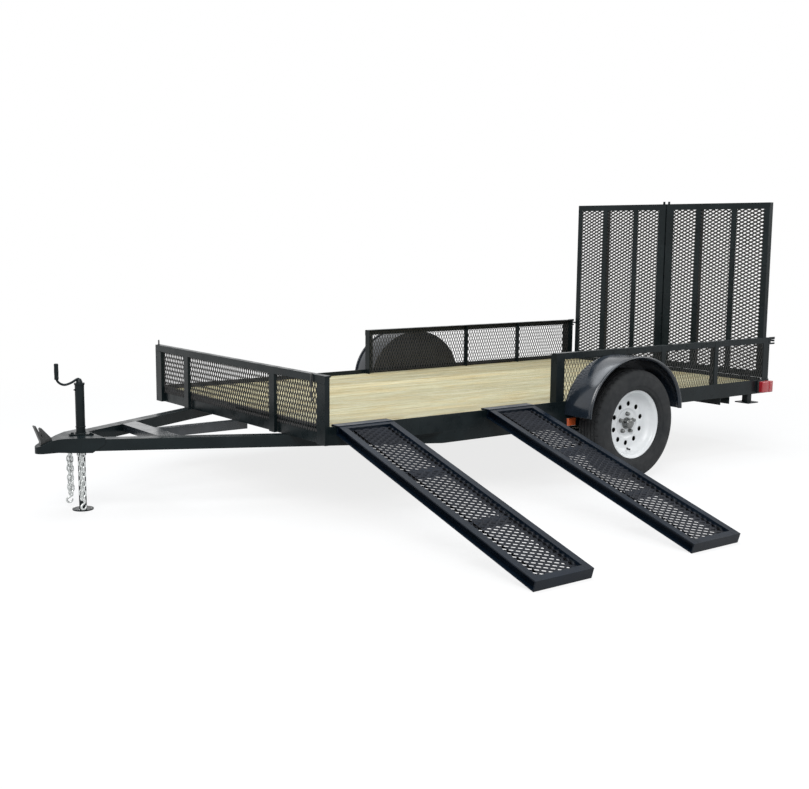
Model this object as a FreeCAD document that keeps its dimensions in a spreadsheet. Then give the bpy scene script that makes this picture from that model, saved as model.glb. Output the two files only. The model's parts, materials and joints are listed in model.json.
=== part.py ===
import FreeCAD, Part
import math
import os
import re
import Sketcher

# Utility trailer, millimetres. X points forward along the tongue, Y to the trailer's left, Z up.
# The origin is the centre of the hitch ball in the coupler. Heights are given above the ground.

os.makedirs("parts", exist_ok=True)
doc = FreeCAD.newDocument("utility_trailer")

SIZES = {
    # Ball and bed
    "ball_height": 350,
    "tongue_length": 1070,
    "bed_length": 3658,
    "bed_width": 1956,
    "rail_top": 490,
    "rail_height": 95,
    "rail_flange": 64,
    "rail_wall": 6,
    "seat_gap": 0.3,
    # Deck
    "deck_top": 462,
    "plank_thickness": 29,
    "plank_gap": 3,
    "plank_count": 13,
    "cross_count": 7,
    "cross_flange": 38,
    "cross_wall": 4,
    # Tongue
    "leg_width": 70,
    "leg_height": 62,
    "leg_wall": 5,
    "leg_spread": 590,
    "leg_angle": 27,
    "leg_start": 140,
    "wrap_end": 1850,
    "tie_front": 555,
    "tie_width": 100,
    "tie_depth": 40,
    "tie_wall": 5,
    "brace_width": 51,
    # Coupler
    "socket_radius": 26,
    "socket_depth": 22,
    "socket_boss": 34,
    "coupler_rear": 246,
    "coupler_heel": 188,
    "coupler_wall": 6,
    "coupler_top": 403,
    "coupler_bottom": 325,
    "nose_radius": 40,
    "nose_centre": 20,
    "lever_width": 30,
    # Jack
    "jack_x": 184,
    "jack_radius": 24,
    "jack_wall": 4,
    "jack_bottom": 292,
    "jack_top": 664,
    "jack_plate": 62,
    "jack_flange": 6,
    "jack_cap": 10,
    "jack_leg_gap": 0.4,
    "jack_leg_top": 352,
    "foot_radius": 55,
    "foot_plate": 6,
    "crank_radius": 6,
    "grip_radius": 12,
    "grip_length": 84,
    # Panels
    "front_top": 750,
    "side_top": 775,
    "angle_leg": 38,
    "angle_wall": 4,
    "corner_width": 76,
    "corner_depth": 28,
    "upright_width": 54,
    "upright_left": 453,
    "upright_right": 560,
    "panel_start": 1618,
    "panel_post": 64,
    "panel_post_depth": 50,
    "panel_rear_post": 66,
    "upright_one_back": 1118,
    "upright_two_back": 588,
    "sheet_thickness": 2.5,
    "mesh_long": 225,
    "mesh_short": 130,
    "mesh_strand": 14,
    # Fenders
    "axle_x": 2107,
    "fender_shift": 27,
    "fender_length": 790,
    "fender_rise": 336,
    "fender_base": 410,
    "fender_wall": 3,
    "fender_over": 23,
    "lip_size": 14,
    # Wheels
    "tyre_radius": 335,
    "tyre_width": 190,
    "tyre_gap": 9,
    "bead_flare": 24,
    "shoulder_drop": 32,
    "shoulder_width": 26,
    "rim_radius": 207.5,
    "rim_width": 140,
    "rim_wall": 4,
    "disc_place": 10,
    "vent_circle": 120,
    "vent_radius": 15,
    "vent_count": 10,
    "ring_turn": 21,
    "hub_radius": 62,
    "hub_length": 62,
    "cap_radius": 33,
    "cap_length": 38,
    "lug_circle": 57.15,
    "lug_radius": 12,
    "spindle_radius": 19,
    "spindle_gap": 0.05,
    # Axle and springs
    "beam_radius": 30,
    "beam_drop": 100,
    "spring_inset": 78,
    "spring_half": 330,
    "spring_width": 45,
    "leaf_thickness": 7,
    "seat_length": 70,
    "eye_radius": 14,
    "eye_height": 300,
    "hanger_wall": 6,
    # Gates
    "gate_height": 1206,
    "gate_base": 489,
    "gate_offset": 12,
    "gate_leg": 44,
    "gate_stile": 66,
    "gate_clear": 72,
    "gate_split": 12,
    "gate_upright": 293,
    "hinge_height": 477,
    "hinge_radius": 8,
    "hinge_pin": 4,
    "hinge_length": 60,
    "hinge_tab": 6,
    "tab_radius": 12,
    "tab_gap": 0.5,
    "hinge_place": 300,
    "pin_height": 752,
    "pin_radius": 6,
    "ear_wall": 6,
    "ear_height": 50,
    # Ramps
    "ramp_front_place": 65,
    "ramp_rear_place": 1070,
    "ramp_width": 343,
    "ramp_length": 1530,
    "ramp_depth": 50,
    "ramp_bar": 38,
    "ramp_wall": 5,
    "mesh_recess": 14,
    "lip_reach": 30,
    "lip_tip": 18,
    "lip_bead": 6,
    "floor_gap": 0.5,
    # Lamps and rear feet
    "tail_lamp_length": 120,
    "tail_lamp_height": 82,
    "tail_lamp_depth": 48,
    "tail_lens_length": 45,
    "marker_length": 72,
    "marker_height": 52,
    "marker_depth": 18,
    "marker_place": 1733,
    "skid_back": 188,
    "skid_inset": 78,
    "skid_stem": 44,
    "skid_foot": 110,
    "skid_plate": 7,
    "skid_bottom": 335,
    "stow_back": 458,
    "stow_width": 100,
    "stow_depth": 50,
    "stow_wall": 6,
    # Chains
    "link_wire": 7,
    "link_length": 40,
    "link_width": 26,
    "links_down": 10,
    "chain_rod": 5,
    "chain_rod_length": 236,
    "chain_lug": 6,
    "chain_place": 82,
    "chain_spread": 30,
    "chain_x": 152,
}

sizes = doc.addObject("Spreadsheet::Sheet", "Sizes")
for row, (alias, number) in enumerate(SIZES.items(), 1):
    sizes.set(f"A{row}", alias)
    sizes.set(f"B{row}", str(number))
    sizes.setAlias(f"B{row}", alias)
doc.recompute()

ALONG = {
    "XY": FreeCAD.Rotation(),
    "YZ": FreeCAD.Rotation(FreeCAD.Vector(1, 1, 1), 120),
    "XZ": FreeCAD.Rotation(FreeCAD.Vector(1, 0, 0), 90),
}
pieces = []


def bound(text):
    """An expression in which each size's name is read from the sheet."""
    return re.sub(r"[a-z_]+", lambda word: f"Sizes.{word[0]}" if word[0] in SIZES else word[0], str(text))


def number(text):
    """The value of an expression at the present sizes."""
    result = sizes.evalExpression(bound(text))
    return float(getattr(result, "Value", result))


def behind(distance):
    """The X of a point that lies this far behind the front of the bed."""
    return f"-tongue_length - ({distance})"


def above(height):
    """The Z of a point that lies this high above the ground."""
    return f"({height}) - ball_height"


def place(thing, corner):
    for axis, text in zip("xyz", corner):
        thing.setExpression(f"Placement.Base.{axis}", bound(text))
    return thing


def name_piece(thing, label):
    """Makes an object a sub-part that is written to its own file."""
    thing.Label = label
    pieces.append(thing)
    return thing


def box(name, size, corner):
    thing = doc.addObject("Part::Box", name)
    for prop, text in zip(("Length", "Width", "Height"), size):
        thing.setExpression(prop, bound(text))
    return place(thing, corner)


def cylinder(name, radius, length, start, plane="XY"):
    """A cylinder that runs from start along Z (XY), X (YZ) or minus Y (XZ)."""
    thing = doc.addObject("Part::Cylinder", name)
    thing.setExpression("Radius", bound(radius))
    thing.setExpression("Height", bound(length))
    thing.Placement = FreeCAD.Placement(FreeCAD.Vector(), ALONG[plane])
    return place(thing, start)


def sketch(name, corners):
    """A closed outline of straight lines whose corners are bound to the sheet."""
    outline = doc.addObject("Sketcher::SketchObject", f"{name}_outline")
    points = [(number(x), number(y)) for x, y in corners]
    count = len(points)
    for index, (x, y) in enumerate(points):
        next_x, next_y = points[(index + 1) % count]
        outline.addGeometry(Part.LineSegment(FreeCAD.Vector(x, y, 0), FreeCAD.Vector(next_x, next_y, 0)), False)
    for index in range(count):
        outline.addConstraint(Sketcher.Constraint("Coincident", index, 2, (index + 1) % count, 1))
    for index, (x, y) in enumerate(points):
        for kind, value, text in (("DistanceX", x, corners[index][0]), ("DistanceY", y, corners[index][1])):
            made = outline.addConstraint(Sketcher.Constraint(kind, -1, 1, index, 1, value))
            outline.renameConstraint(made, f"{kind}{index}")
            outline.setExpression(f"Constraints.{kind}{index}", bound(text))
    return outline


def extrude(name, corners, length, start, plane="XY"):
    """An outline drawn in a plane and pushed out along Z (XY), X (YZ) or minus Y (XZ)."""
    thing = doc.addObject("Part::Extrusion", name)
    thing.Base = sketch(name, corners)
    thing.DirMode = "Custom"
    thing.Dir = FreeCAD.Vector(0, 0, 1)
    thing.Solid = True
    thing.setExpression("LengthFwd", bound(length))
    thing.Placement = FreeCAD.Placement(FreeCAD.Vector(), ALONG[plane])
    return place(thing, start)


def revolve(name, corners, centre):
    """An outline of (place along Y, radius) turned about an axis along Y."""
    thing = doc.addObject("Part::Revolution", name)
    thing.Source = sketch(name, corners)
    thing.Axis = FreeCAD.Vector(1, 0, 0)
    thing.Base = FreeCAD.Vector(0, 0, 0)
    thing.Angle = 360
    thing.Solid = True
    thing.Placement = FreeCAD.Placement(FreeCAD.Vector(), FreeCAD.Rotation(FreeCAD.Vector(0, 0, 1), 90))
    return place(thing, centre)


def fuse(name, shapes):
    thing = doc.addObject("Part::MultiFuse", name)
    thing.Shapes = shapes
    thing.Refine = True
    return thing


def group(name, shapes):
    """Like pieces that don't touch, kept as separate solids."""
    thing = doc.addObject("Part::Compound", name)
    thing.Links = shapes
    return thing


def cut(name, base, tool):
    thing = doc.addObject("Part::Cut", name)
    thing.Base = base
    thing.Tool = tool
    return thing


def common(name, base, tool):
    thing = doc.addObject("Part::Common", name)
    thing.Base = base
    thing.Tool = tool
    return thing


def mirrored(source, label):
    """The same piece on the trailer's other side."""
    thing = doc.addObject("Part::Mirroring", label)
    thing.Source = source
    thing.Normal = FreeCAD.Vector(0, 1, 0)
    return name_piece(thing, label)


def feature(name, shape, corner=("0", "0", "0"), turn=FreeCAD.Rotation()):
    """A shape made with Part's own functions from sizes read from the sheet."""
    thing = doc.addObject("Part::Feature", name)
    thing.Shape = shape
    thing.Placement = FreeCAD.Placement(FreeCAD.Vector(*(number(text) for text in corner)), turn)
    return thing


def angle(width, depth, wall):
    """The outline of an angle section: its corner at 0, 0, one leg along x and one along y."""
    return [("0", "0"), (width, "0"), (width, wall), (wall, wall), (wall, depth), ("0", depth)]


def turned(corners, x_sign=1, y_sign=1, swap=False):
    """An outline with its directions changed."""
    result = []
    for x, y in corners:
        x, y = f"{x_sign} * ({x})", f"{y_sign} * ({y})"
        result.append((y, x) if swap else (x, y))
    return result


def diamond_sheet(width, height, across, down):
    """A flat sheet in the XZ plane, from the origin, pierced by staggered diamonds between its edges."""
    strand, thickness = number("mesh_strand"), number("sheet_thickness")
    columns = max(1, round((width - strand) / across))
    rows = max(1, round((height - strand) / down))
    pitch_x, pitch_z = (width - strand) / columns, (height - strand) / rows
    reach_x, reach_z = pitch_x / 2 - strand * 0.6, pitch_z / 2 - strand * 0.6
    centres = [(i + 0.5, j + 0.5) for i in range(columns) for j in range(rows)]
    centres += [(i, j) for i in range(1, columns) for j in range(1, rows)]

    def loop(points):
        corners = [FreeCAD.Vector(x, 0, z) for x, z in points]
        return Part.makePolygon(corners + corners[:1])

    wires = [loop([(0, 0), (width, 0), (width, height), (0, height)])]
    for column, line in centres:
        x, z = strand / 2 + column * pitch_x, strand / 2 + line * pitch_z
        wires.append(loop([(x - reach_x, z), (x, z - reach_z), (x + reach_x, z), (x, z + reach_z)]))
    return Part.makeFace(wires, "Part::FaceMakerCheese").extrude(FreeCAD.Vector(0, thickness, 0))


HALF = "bed_width / 2"
RAIL_BOTTOM = "rail_top - rail_height"
LEG_BOTTOM = "rail_top - rail_height - leg_height"
REAR = behind("bed_length")
WHEEL_Y = "(bed_width / 2 + tyre_gap + tyre_width / 2)"
SPRING_Y = "(bed_width / 2 - spring_inset)"
ROD_TOP = above(f"{LEG_BOTTOM} - link_wire - 2 * seat_gap")
MESH_DEPTH = "(corner_depth - rail_wall - seat_gap - sheet_thickness)"


# Side rails: an upright web outside and a flange inward at the bottom
rail = turned(angle("rail_flange", "rail_height", "rail_wall"), x_sign=-1)
side_rail = extrude("rail_left", rail, "bed_length - corner_depth", (REAR, HALF, above(RAIL_BOTTOM)), "YZ")
name_piece(side_rail, "side_rail_left")
mirrored(side_rail, "side_rail_right")

# Front rail between the corner posts, with its web at their rear face
front_section = turned(angle("rail_flange", "rail_height", "rail_wall"), x_sign=-1)
front_rail = extrude("rail_front", front_section, "bed_width - 2 * corner_width",
                     (behind("corner_depth - rail_wall"), f"{HALF} - corner_width", above(RAIL_BOTTOM)), "XZ")
name_piece(front_rail, "front_rail")

# Rear rail: its flange meets the side rails' flanges, its web steps down under the panels' rear posts
rear_section = angle("rail_flange", "rail_height", "rail_wall")
rear_flange = extrude("rear_flange", rear_section, "bed_width - 2 * rail_flange",
                      (REAR, f"{HALF} - rail_flange", above(RAIL_BOTTOM)), "XZ")
rear_web = box("rear_web", ("rail_wall", "bed_width - 2 * rail_wall", "deck_top - rail_top + rail_height - rail_wall"),
               (REAR, f"rail_wall - {HALF}", above(f"{RAIL_BOTTOM} + rail_wall")))
hinge_x = behind("bed_length + gate_offset + gate_leg / 2")
gate_width = "(bed_width - 2 * gate_clear - gate_split) / 2"
gate_hinges = [f"(gate_split / 2 + {gate_width} / 2 + {spot} * hinge_place)" for spot in (-1, 1)]
rear_parts = [rear_flange, rear_web]
for side, tag in ((-1, "right"), (1, "left")):
    for index, middle in enumerate(gate_hinges):
        spot = f"{side} * {middle}"
        rear_parts.append(cylinder(f"hinge_pin_{tag}_{index}", "hinge_pin", "hinge_length + 4 * hinge_tab",
                                   (hinge_x, f"{spot} + hinge_length / 2 + 2 * hinge_tab", above("hinge_height")), "XZ"))
        block = [("0", "-hinge_radius"), ("gate_offset + gate_leg / 2", "-hinge_radius"),
                 ("gate_offset + gate_leg / 2", "hinge_radius / 2"), ("hinge_radius", "hinge_radius / 2"),
                 ("hinge_radius / 2", "hinge_radius"), ("-hinge_radius / 2", "hinge_radius"),
                 ("-hinge_radius", "hinge_radius / 2"), ("-hinge_radius", "-hinge_radius / 2")]
        rear_parts.append(extrude(f"hinge_block_{tag}_{index}", block, "hinge_length",
                                  (hinge_x, f"{spot} + hinge_length / 2", above("hinge_height")), "XZ"))
name_piece(fuse("rail_rear", rear_parts), "rear_rail")

# Crossmembers: angles that sit on the side rails' flanges under the planks
cross_height = "deck_top - plank_thickness - rail_top + rail_height - rail_wall"
cross_run = "(bed_length - corner_depth - 2 * rail_flange - cross_flange - 2)"
crossmembers = []
for index in range(int(number("cross_count"))):
    section = turned(angle("cross_flange", cross_height, "cross_wall"), x_sign=-1, y_sign=-1)
    spot = f"corner_depth + rail_flange + {index} * {cross_run} / (cross_count - 1)"
    crossmembers.append(extrude(f"cross_{index}", section, "bed_width - 2 * rail_wall",
                                (behind(spot), f"{HALF} - rail_wall", above("deck_top - plank_thickness")), "XZ"))
name_piece(group("cross_set", crossmembers), "crossmembers")

# Deck planks between the rails
plank_width = "(bed_width - 2 * rail_wall - (plank_count + 1) * plank_gap) / plank_count"
planks = []
for index in range(int(number("plank_count"))):
    planks.append(box(
        f"plank_{index}", ("bed_length - corner_depth - rail_wall - 2", plank_width, "plank_thickness"),
        (behind("bed_length - rail_wall - 1"),
         f"rail_wall - {HALF} + plank_gap + {index} * (plank_gap + {plank_width})",
         above("deck_top - plank_thickness"))))
name_piece(group("plank_set", planks), "deck_boards")


def leg_plan(inset, over):
    """The tongue leg's outline from above, drawn inset from its walls and longer at its ends."""
    slope = "tan(leg_angle)"
    outer = f"(leg_spread - {inset} / cos(leg_angle))"
    inner = f"(leg_spread - (leg_width - {inset}) / cos(leg_angle))"
    front = f"(tongue_length - leg_start + {over})"
    rear = f"(wrap_end + {over})"
    outer_side = f"({HALF} - {inset})"
    inner_side = f"({HALF} - leg_width + {inset})"
    return [
        (behind(f"-{front}"), f"{outer} - {front} * {slope}"),
        (behind(f"({outer_side} - {outer}) / {slope}"), outer_side),
        (behind(rear), outer_side),
        (behind(rear), inner_side),
        (behind(f"({inner_side} - {inner}) / {slope}"), inner_side),
        (behind(f"-{front}"), f"{inner} - {front} * {slope}"),
    ]


# Tongue legs: box sections that run under the bed and wrap along the side rails
leg_body = extrude("leg_body", leg_plan("0", "0"), "leg_height", ("0", "0", above(LEG_BOTTOM)))
leg_hollow = extrude("leg_hollow", leg_plan("leg_wall", "10"), "leg_height - 2 * leg_wall",
                     ("0", "0", above(f"{LEG_BOTTOM} + leg_wall")))
tongue_leg = name_piece(cut("leg_left", leg_body, leg_hollow), "tongue_leg_left")
mirrored(tongue_leg, "tongue_leg_right")

# Tongue crossbar, a channel open below, and the centre brace that runs back to the front rail
inner_line = "(leg_spread - leg_width / cos(leg_angle))"
tie_rear = "(tie_front - tie_width)"
tie_plan = [
    (behind("-tie_front"), f"{inner_line} - tie_front * tan(leg_angle)"),
    (behind(f"-{tie_rear}"), f"{inner_line} - {tie_rear} * tan(leg_angle)"),
    (behind(f"-{tie_rear}"), f"{tie_rear} * tan(leg_angle) - {inner_line}"),
    (behind("-tie_front"), f"tie_front * tan(leg_angle) - {inner_line}"),
]
tie_body = extrude("tie_body", tie_plan, "tie_depth", ("0", "0", above(f"{RAIL_BOTTOM} - tie_depth")))
tie_hollow = box("tie_hollow", ("tie_width - 2 * tie_wall", "bed_width", "tie_depth"),
                 (behind(f"-{tie_rear} - tie_wall"), f"-{HALF}", above(f"{RAIL_BOTTOM} - tie_depth - tie_wall")))
tie = cut("tie", tie_body, tie_hollow)
brace_body = box("brace_body", (f"{tie_rear} + corner_depth + rail_flange", "brace_width", "brace_width"),
                 (behind("corner_depth + rail_flange"), "-brace_width / 2", above(f"{RAIL_BOTTOM} - brace_width")))
brace_hollow = box("brace_hollow", (f"{tie_rear} + corner_depth + rail_flange + 20", "brace_width - 2 * tie_wall",
                                    "brace_width - 2 * tie_wall"),
                   (behind("corner_depth + rail_flange + 10"), "tie_wall - brace_width / 2",
                    above(f"{RAIL_BOTTOM} - brace_width + tie_wall")))
brace = cut("brace", brace_body, brace_hollow)
name_piece(fuse("tongue_tie", [tie, brace]), "tongue_braces")


# Coupler: a pressed shell over the legs' front ends with a ball socket in its nose
def coupler_plan(inset):
    line = f"(leg_spread - tongue_length * tan(leg_angle) + seat_gap / cos(leg_angle) - {inset} / cos(leg_angle))"
    wall = "coupler_wall / cos(leg_angle)"
    side = [(x, f"{line} + {wall} + ({reach}) * tan(leg_angle)")
            for x, reach in (("-coupler_rear", "coupler_rear"), ("-leg_start", "leg_start"))]
    side += [("-1.1 * nose_radius", f"nose_radius + 6 - {inset}"), ("nose_centre", f"nose_radius - {inset}")]
    return side + [(x, f"-({y})") for x, y in reversed(side)]


def coupler_side(inset):
    top = [("-coupler_rear", "coupler_top"), ("-leg_start", "coupler_top"), ("-70", "coupler_top - 5"),
           ("-20", "coupler_top - 13"), ("22", "coupler_top - 30"), ("nose_centre + nose_radius", "coupler_top - 44")]
    bottom = [("nose_centre + nose_radius", "coupler_bottom"), ("-coupler_heel", "coupler_bottom"),
              ("-coupler_rear", "coupler_top - 30")]
    if inset != "0":
        top = [(x, f"{z} - {inset}") for x, z in top]
        top[0] = ("-coupler_rear - 10", top[0][1])
        top[-1] = (f"{top[-1][0]} - {inset}", top[-1][1])
        bottom = [(top[-1][0], "coupler_bottom - 10"), ("-coupler_rear - 10", "coupler_bottom - 10")]
    return [(x, above(z)) for x, z in top + bottom]


def coupler_form(tag, inset):
    plan = extrude(f"{tag}_plan", coupler_plan(inset), "200", ("0", "0", "-100"))
    nose = cylinder(f"{tag}_nose", f"nose_radius - {inset}", "200", ("nose_centre", "0", "-100"))
    profile = extrude(f"{tag}_profile", coupler_side(inset), "bed_width", ("0", HALF, "0"), "XZ")
    return common(f"{tag}_form", fuse(f"{tag}_all", [plan, nose]), profile)


shell_inside = coupler_form("coupler_inside", "coupler_wall")
shell = cut("coupler_shell", coupler_form("coupler_outside", "0"), shell_inside)
boss = cylinder("socket_body", "socket_boss", "coupler_top - 16 - coupler_bottom",
                ("0", "0", above("coupler_bottom + 3")))
boss_trimmed = common("socket_trimmed", boss, coupler_form("socket_limit", "0"))
solid_coupler = fuse("coupler_solid", [shell, boss_trimmed])
socket_bore = cylinder("socket_bore", "socket_radius", "socket_depth + 22", ("0", "0", "-socket_depth - 20"))
socket_dome = doc.addObject("Part::Cone", "socket_dome")
socket_dome.setExpression("Radius1", bound("socket_radius"))
socket_dome.setExpression("Radius2", bound("socket_radius / 2"))
socket_dome.setExpression("Height", bound("socket_radius * 0.8"))
place(socket_dome, ("0", "0", "2"))
jack_hole = cylinder("jack_hole", "jack_radius + seat_gap", "100", ("-jack_x", "0", above("coupler_top - 50")))
hollow = fuse("coupler_holes", [socket_bore, socket_dome, jack_hole])
name_piece(cut("coupler_body", solid_coupler, hollow), "coupler")

# Latch lever on top of the coupler: two blades that rise forward from one foot
lever_side = [("-24", "386"), ("38", "360"), ("34", "384"), ("66", "469"), ("58", "470"), ("24", "402"),
              ("36", "452"), ("29", "457"), ("-22", "400")]
lever_block = extrude("lever_block", [(x, above(z)) for x, z in lever_side], "lever_width",
                      ("0", "lever_width / 2", "0"), "XZ")
name_piece(cut("lever", lever_block, coupler_form("lever_limit", "0")), "coupler_latch")

# Jack body: outer tube, bolting flange and cap
jack_tube = cylinder("jack_tube", "jack_radius", "jack_top - jack_bottom", ("-jack_x", "0", above("jack_bottom")))
plate_plan = [("-jack_x + jack_plate", "-12"), ("-jack_x + jack_plate", "12"), ("-jack_x - 30", "jack_plate"),
              ("-jack_x - 50", "jack_plate - 10"), ("-jack_x - 50", "10 - jack_plate"), ("-jack_x - 30", "-jack_plate")]
jack_flange = extrude("jack_flange_plate", plate_plan, "jack_flange", ("0", "0", above("coupler_top + seat_gap")))
jack_outer = fuse("jack_outer", [jack_tube, jack_flange])
jack_bore = cylinder("jack_bore", "jack_radius - jack_wall", "jack_top - jack_bottom + 20",
                     ("-jack_x", "0", above("jack_bottom - 20")))
jack_cap = cylinder("jack_cap_disc", "jack_radius + 3", "jack_cap", ("-jack_x", "0", above("jack_top")))
jack_body = fuse("jack_tube_set", [cut("jack_hollow", jack_outer, jack_bore), jack_cap])
name_piece(jack_body, "jack_body")


def bent_rod(points, radius):
    """A round rod along straight runs with mitred corners."""
    section = Part.Wire(Part.makeCircle(radius, points[0], points[1] - points[0]))
    return Part.Wire(Part.makePolygon(points)).makePipeShell([section], True, False, 1)


# Jack crank: a bent rod with a grip that stands up at its end
crank_points = [("-jack_x", "jack_top + jack_cap"), ("-jack_x", "jack_top + 34"), ("-jack_x + 42", "jack_top + 14"),
                ("-jack_x + 88", "jack_top + 6"), ("-jack_x + 118", "jack_top + 26"),
                ("-jack_x + 120", "jack_top + 44")]
crank_path = [FreeCAD.Vector(number(x), 0, number(above(z))) for x, z in crank_points]
crank_rod = feature("crank_rod", bent_rod(crank_path, number("crank_radius")))
crank_grip = cylinder("crank_grip", "grip_radius", "grip_length",
                      ("-jack_x + 120", "0", above("jack_top + 34")))
name_piece(fuse("crank", [crank_rod, crank_grip]), "jack_crank")

# Jack leg: the inner tube with its foot plate on the ground
leg_radius = "(jack_radius - jack_wall - jack_leg_gap)"
inner_tube = cylinder("inner_tube", leg_radius, "jack_leg_top - foot_plate", ("-jack_x", "0", above("foot_plate")))
inner_bore = cylinder("inner_bore", f"{leg_radius} - jack_wall", "jack_leg_top", ("-jack_x", "0", above("foot_plate")))
foot = cylinder("foot_disc", "foot_radius", "foot_plate", ("-jack_x", "0", above("0")))
name_piece(fuse("jack_leg_set", [cut("inner_hollow", inner_tube, inner_bore), foot]), "jack_leg")

# Front panel: angle top rail over two box corner posts and two angle uprights
post_height = f"front_top - angle_wall - ({RAIL_BOTTOM})"
top_section = turned(angle("angle_leg", "angle_leg", "angle_wall"), x_sign=-1, y_sign=-1)
front_parts = [extrude("front_cap", top_section, "bed_width", (behind("0"), HALF, above("front_top")), "XZ")]
for side, tag in ((1, "left"), (-1, "right")):
    edge = HALF if side > 0 else f"corner_width - {HALF}"
    outside = box(f"corner_{tag}", ("corner_depth", "corner_width", post_height),
                  (behind("corner_depth"), f"{edge} - corner_width", above(RAIL_BOTTOM)))
    inside = box(f"corner_inside_{tag}", ("corner_depth - 2 * angle_wall", "corner_width - 2 * angle_wall",
                                          f"{post_height} + 20"),
                 (behind("corner_depth - angle_wall"), f"{edge} - corner_width + angle_wall",
                  above(f"{RAIL_BOTTOM} - 10")))
    front_parts.append(cut(f"corner_post_{tag}", outside, inside))
    upright = turned(angle("upright_width", f"{MESH_DEPTH} - seat_gap", "angle_wall"),
                     x_sign=-1, y_sign=-1, swap=True)
    front_parts.append(extrude(f"front_upright_{tag}", upright, post_height,
                               (behind("0"), f"{side} * upright_{tag} + upright_width / 2", above(RAIL_BOTTOM))))
front_frame = fuse("front_frame", front_parts)
name_piece(front_frame, "front_panel_frame")
mesh_top = "(angle_wall + seat_gap)"
front_sheet_width = number("bed_width - 2 * corner_width - 2 * seat_gap")
front_sheet_height = number(f"front_top - rail_top + 40 - {mesh_top}")
front_sheet = diamond_sheet(front_sheet_width, front_sheet_height, number("mesh_long"), number("mesh_short"))
name_piece(feature("front_sheet", front_sheet, (behind(MESH_DEPTH),
                                               f"corner_width + seat_gap - {HALF}", above("rail_top - 40")),
                   FreeCAD.Rotation(FreeCAD.Vector(0, 0, 1), 90)), "front_panel_mesh")

# Side panels along the rear half: posts and uprights on the deck inside the rails, angle top rail
panel_base = "deck_top + seat_gap"
panel_face = f"{HALF} - rail_wall"
panel_length = "bed_length - panel_start"
wall_y = panel_face
top_rail = turned(angle("angle_leg", "angle_leg", "angle_wall"), x_sign=-1, y_sign=-1)
side_parts = [extrude("side_cap", top_rail, panel_length, (REAR, wall_y, above("side_top")), "YZ")]
post_tall = f"side_top - angle_wall - ({panel_base})"
front_post = turned(angle("panel_post", "panel_post_depth", "angle_wall"), x_sign=-1, y_sign=-1)
side_parts.append(extrude("side_post", front_post, post_tall, (behind("panel_start"), wall_y, above(panel_base))))
for index, spot in enumerate(("upright_one_back", "upright_two_back")):
    upright = turned(angle("angle_leg", "angle_leg", "angle_wall"), x_sign=-1, y_sign=-1)
    side_parts.append(extrude(f"side_upright_{index}", upright, post_tall,
                              (behind(f"bed_length - {spot}"), wall_y, above(panel_base))))
rear_post = turned(angle("panel_rear_post", "panel_post_depth", "angle_wall"), y_sign=-1)
side_parts.append(extrude("side_rear_post", rear_post, post_tall, (REAR, wall_y, above(panel_base))))
pin_x = behind("bed_length + gate_offset + gate_leg / 2")
ear = box("ear_plate", ("gate_offset + gate_leg + 4", "ear_wall", "ear_height"),
          (behind("bed_length + gate_offset + gate_leg"), f"{panel_face} - ear_wall", above("pin_height - ear_height / 2")))
ear_slot = box("ear_slot", ("gate_offset + gate_leg", "ear_wall + 20", "pin_radius * 2 + 10"),
               (behind("bed_length + gate_offset * 2 + gate_leg"), f"{panel_face} - ear_wall - 10",
                above("pin_height - pin_radius - 8")))
side_parts.append(cut("gate_ear", ear, ear_slot))
side_frame = name_piece(fuse("side_frame", side_parts), "side_panel_frame_left")
mirrored(side_frame, "side_panel_frame_right")

bay_edges = [("panel_start + angle_wall", "bed_length - upright_one_back"),
             ("bed_length - upright_one_back + angle_wall", "bed_length - upright_two_back"),
             ("bed_length - upright_two_back + angle_wall", "bed_length - angle_wall")]
bays = []
for index, (ahead, rear) in enumerate(bay_edges):
    width = number(f"{rear} - ({ahead}) - 2 * seat_gap")
    height = number(f"side_top - angle_wall - ({panel_base}) - 2 * seat_gap")
    bays.append(feature(f"side_bay_{index}", diamond_sheet(width, height, number("mesh_long"), number("mesh_short")),
                        (behind(f"{rear} - seat_gap"), f"{panel_face} - angle_wall - seat_gap - sheet_thickness",
                         above(f"{panel_base} + seat_gap"))))
side_mesh = name_piece(group("side_bays", bays), "side_panel_mesh_left")
mirrored(side_mesh, "side_panel_mesh_right")


def half_ellipse(length, rise, grow=0.0):
    """The outline of a half ellipse in the XZ plane, closed along its base."""
    reach, top = length / 2 + grow, rise + grow
    middle = FreeCAD.Vector(0, 0, 0)
    if reach > top:
        curve = Part.Ellipse(FreeCAD.Vector(reach, 0, 0), FreeCAD.Vector(0, 0, top), middle)
    else:
        curve = Part.Ellipse(FreeCAD.Vector(0, 0, top), FreeCAD.Vector(reach, 0, 0), middle)
    upper = Part.makeBox(2 * reach + 2, 2, top + 2, FreeCAD.Vector(-reach - 1, -1, 0))
    return Part.Face(Part.Wire(curve.toShape())).common(upper)


def fender_shape():
    """The curved band over the wheel, its backing plate beside the bed and its rolled outer lip."""
    length, rise, wall = number("fender_length"), number("fender_rise"), number("fender_wall")
    reach, lip = number("tyre_gap + tyre_width + fender_over - seat_gap"), number("lip_size")
    outer, inner = half_ellipse(length, rise), half_ellipse(length, rise, -wall)
    deep = FreeCAD.Vector(0, reach, 0)
    band = outer.extrude(deep).cut(inner.extrude(deep))
    back = outer.extrude(FreeCAD.Vector(0, wall, 0))
    edge = half_ellipse(length, rise, lip / 2).cut(half_ellipse(length, rise, -lip / 2))
    edge = edge.extrude(FreeCAD.Vector(0, lip, 0))
    edge.translate(FreeCAD.Vector(0, reach - lip, 0))
    return band.fuse([back, edge]).removeSplitter()


fender = feature("fender_form", fender_shape(), (behind("axle_x - fender_shift"), f"{HALF} + seat_gap",
                                                 above("fender_base")))
name_piece(fender, "fender_left")
mirrored(fender, "fender_right")

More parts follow.
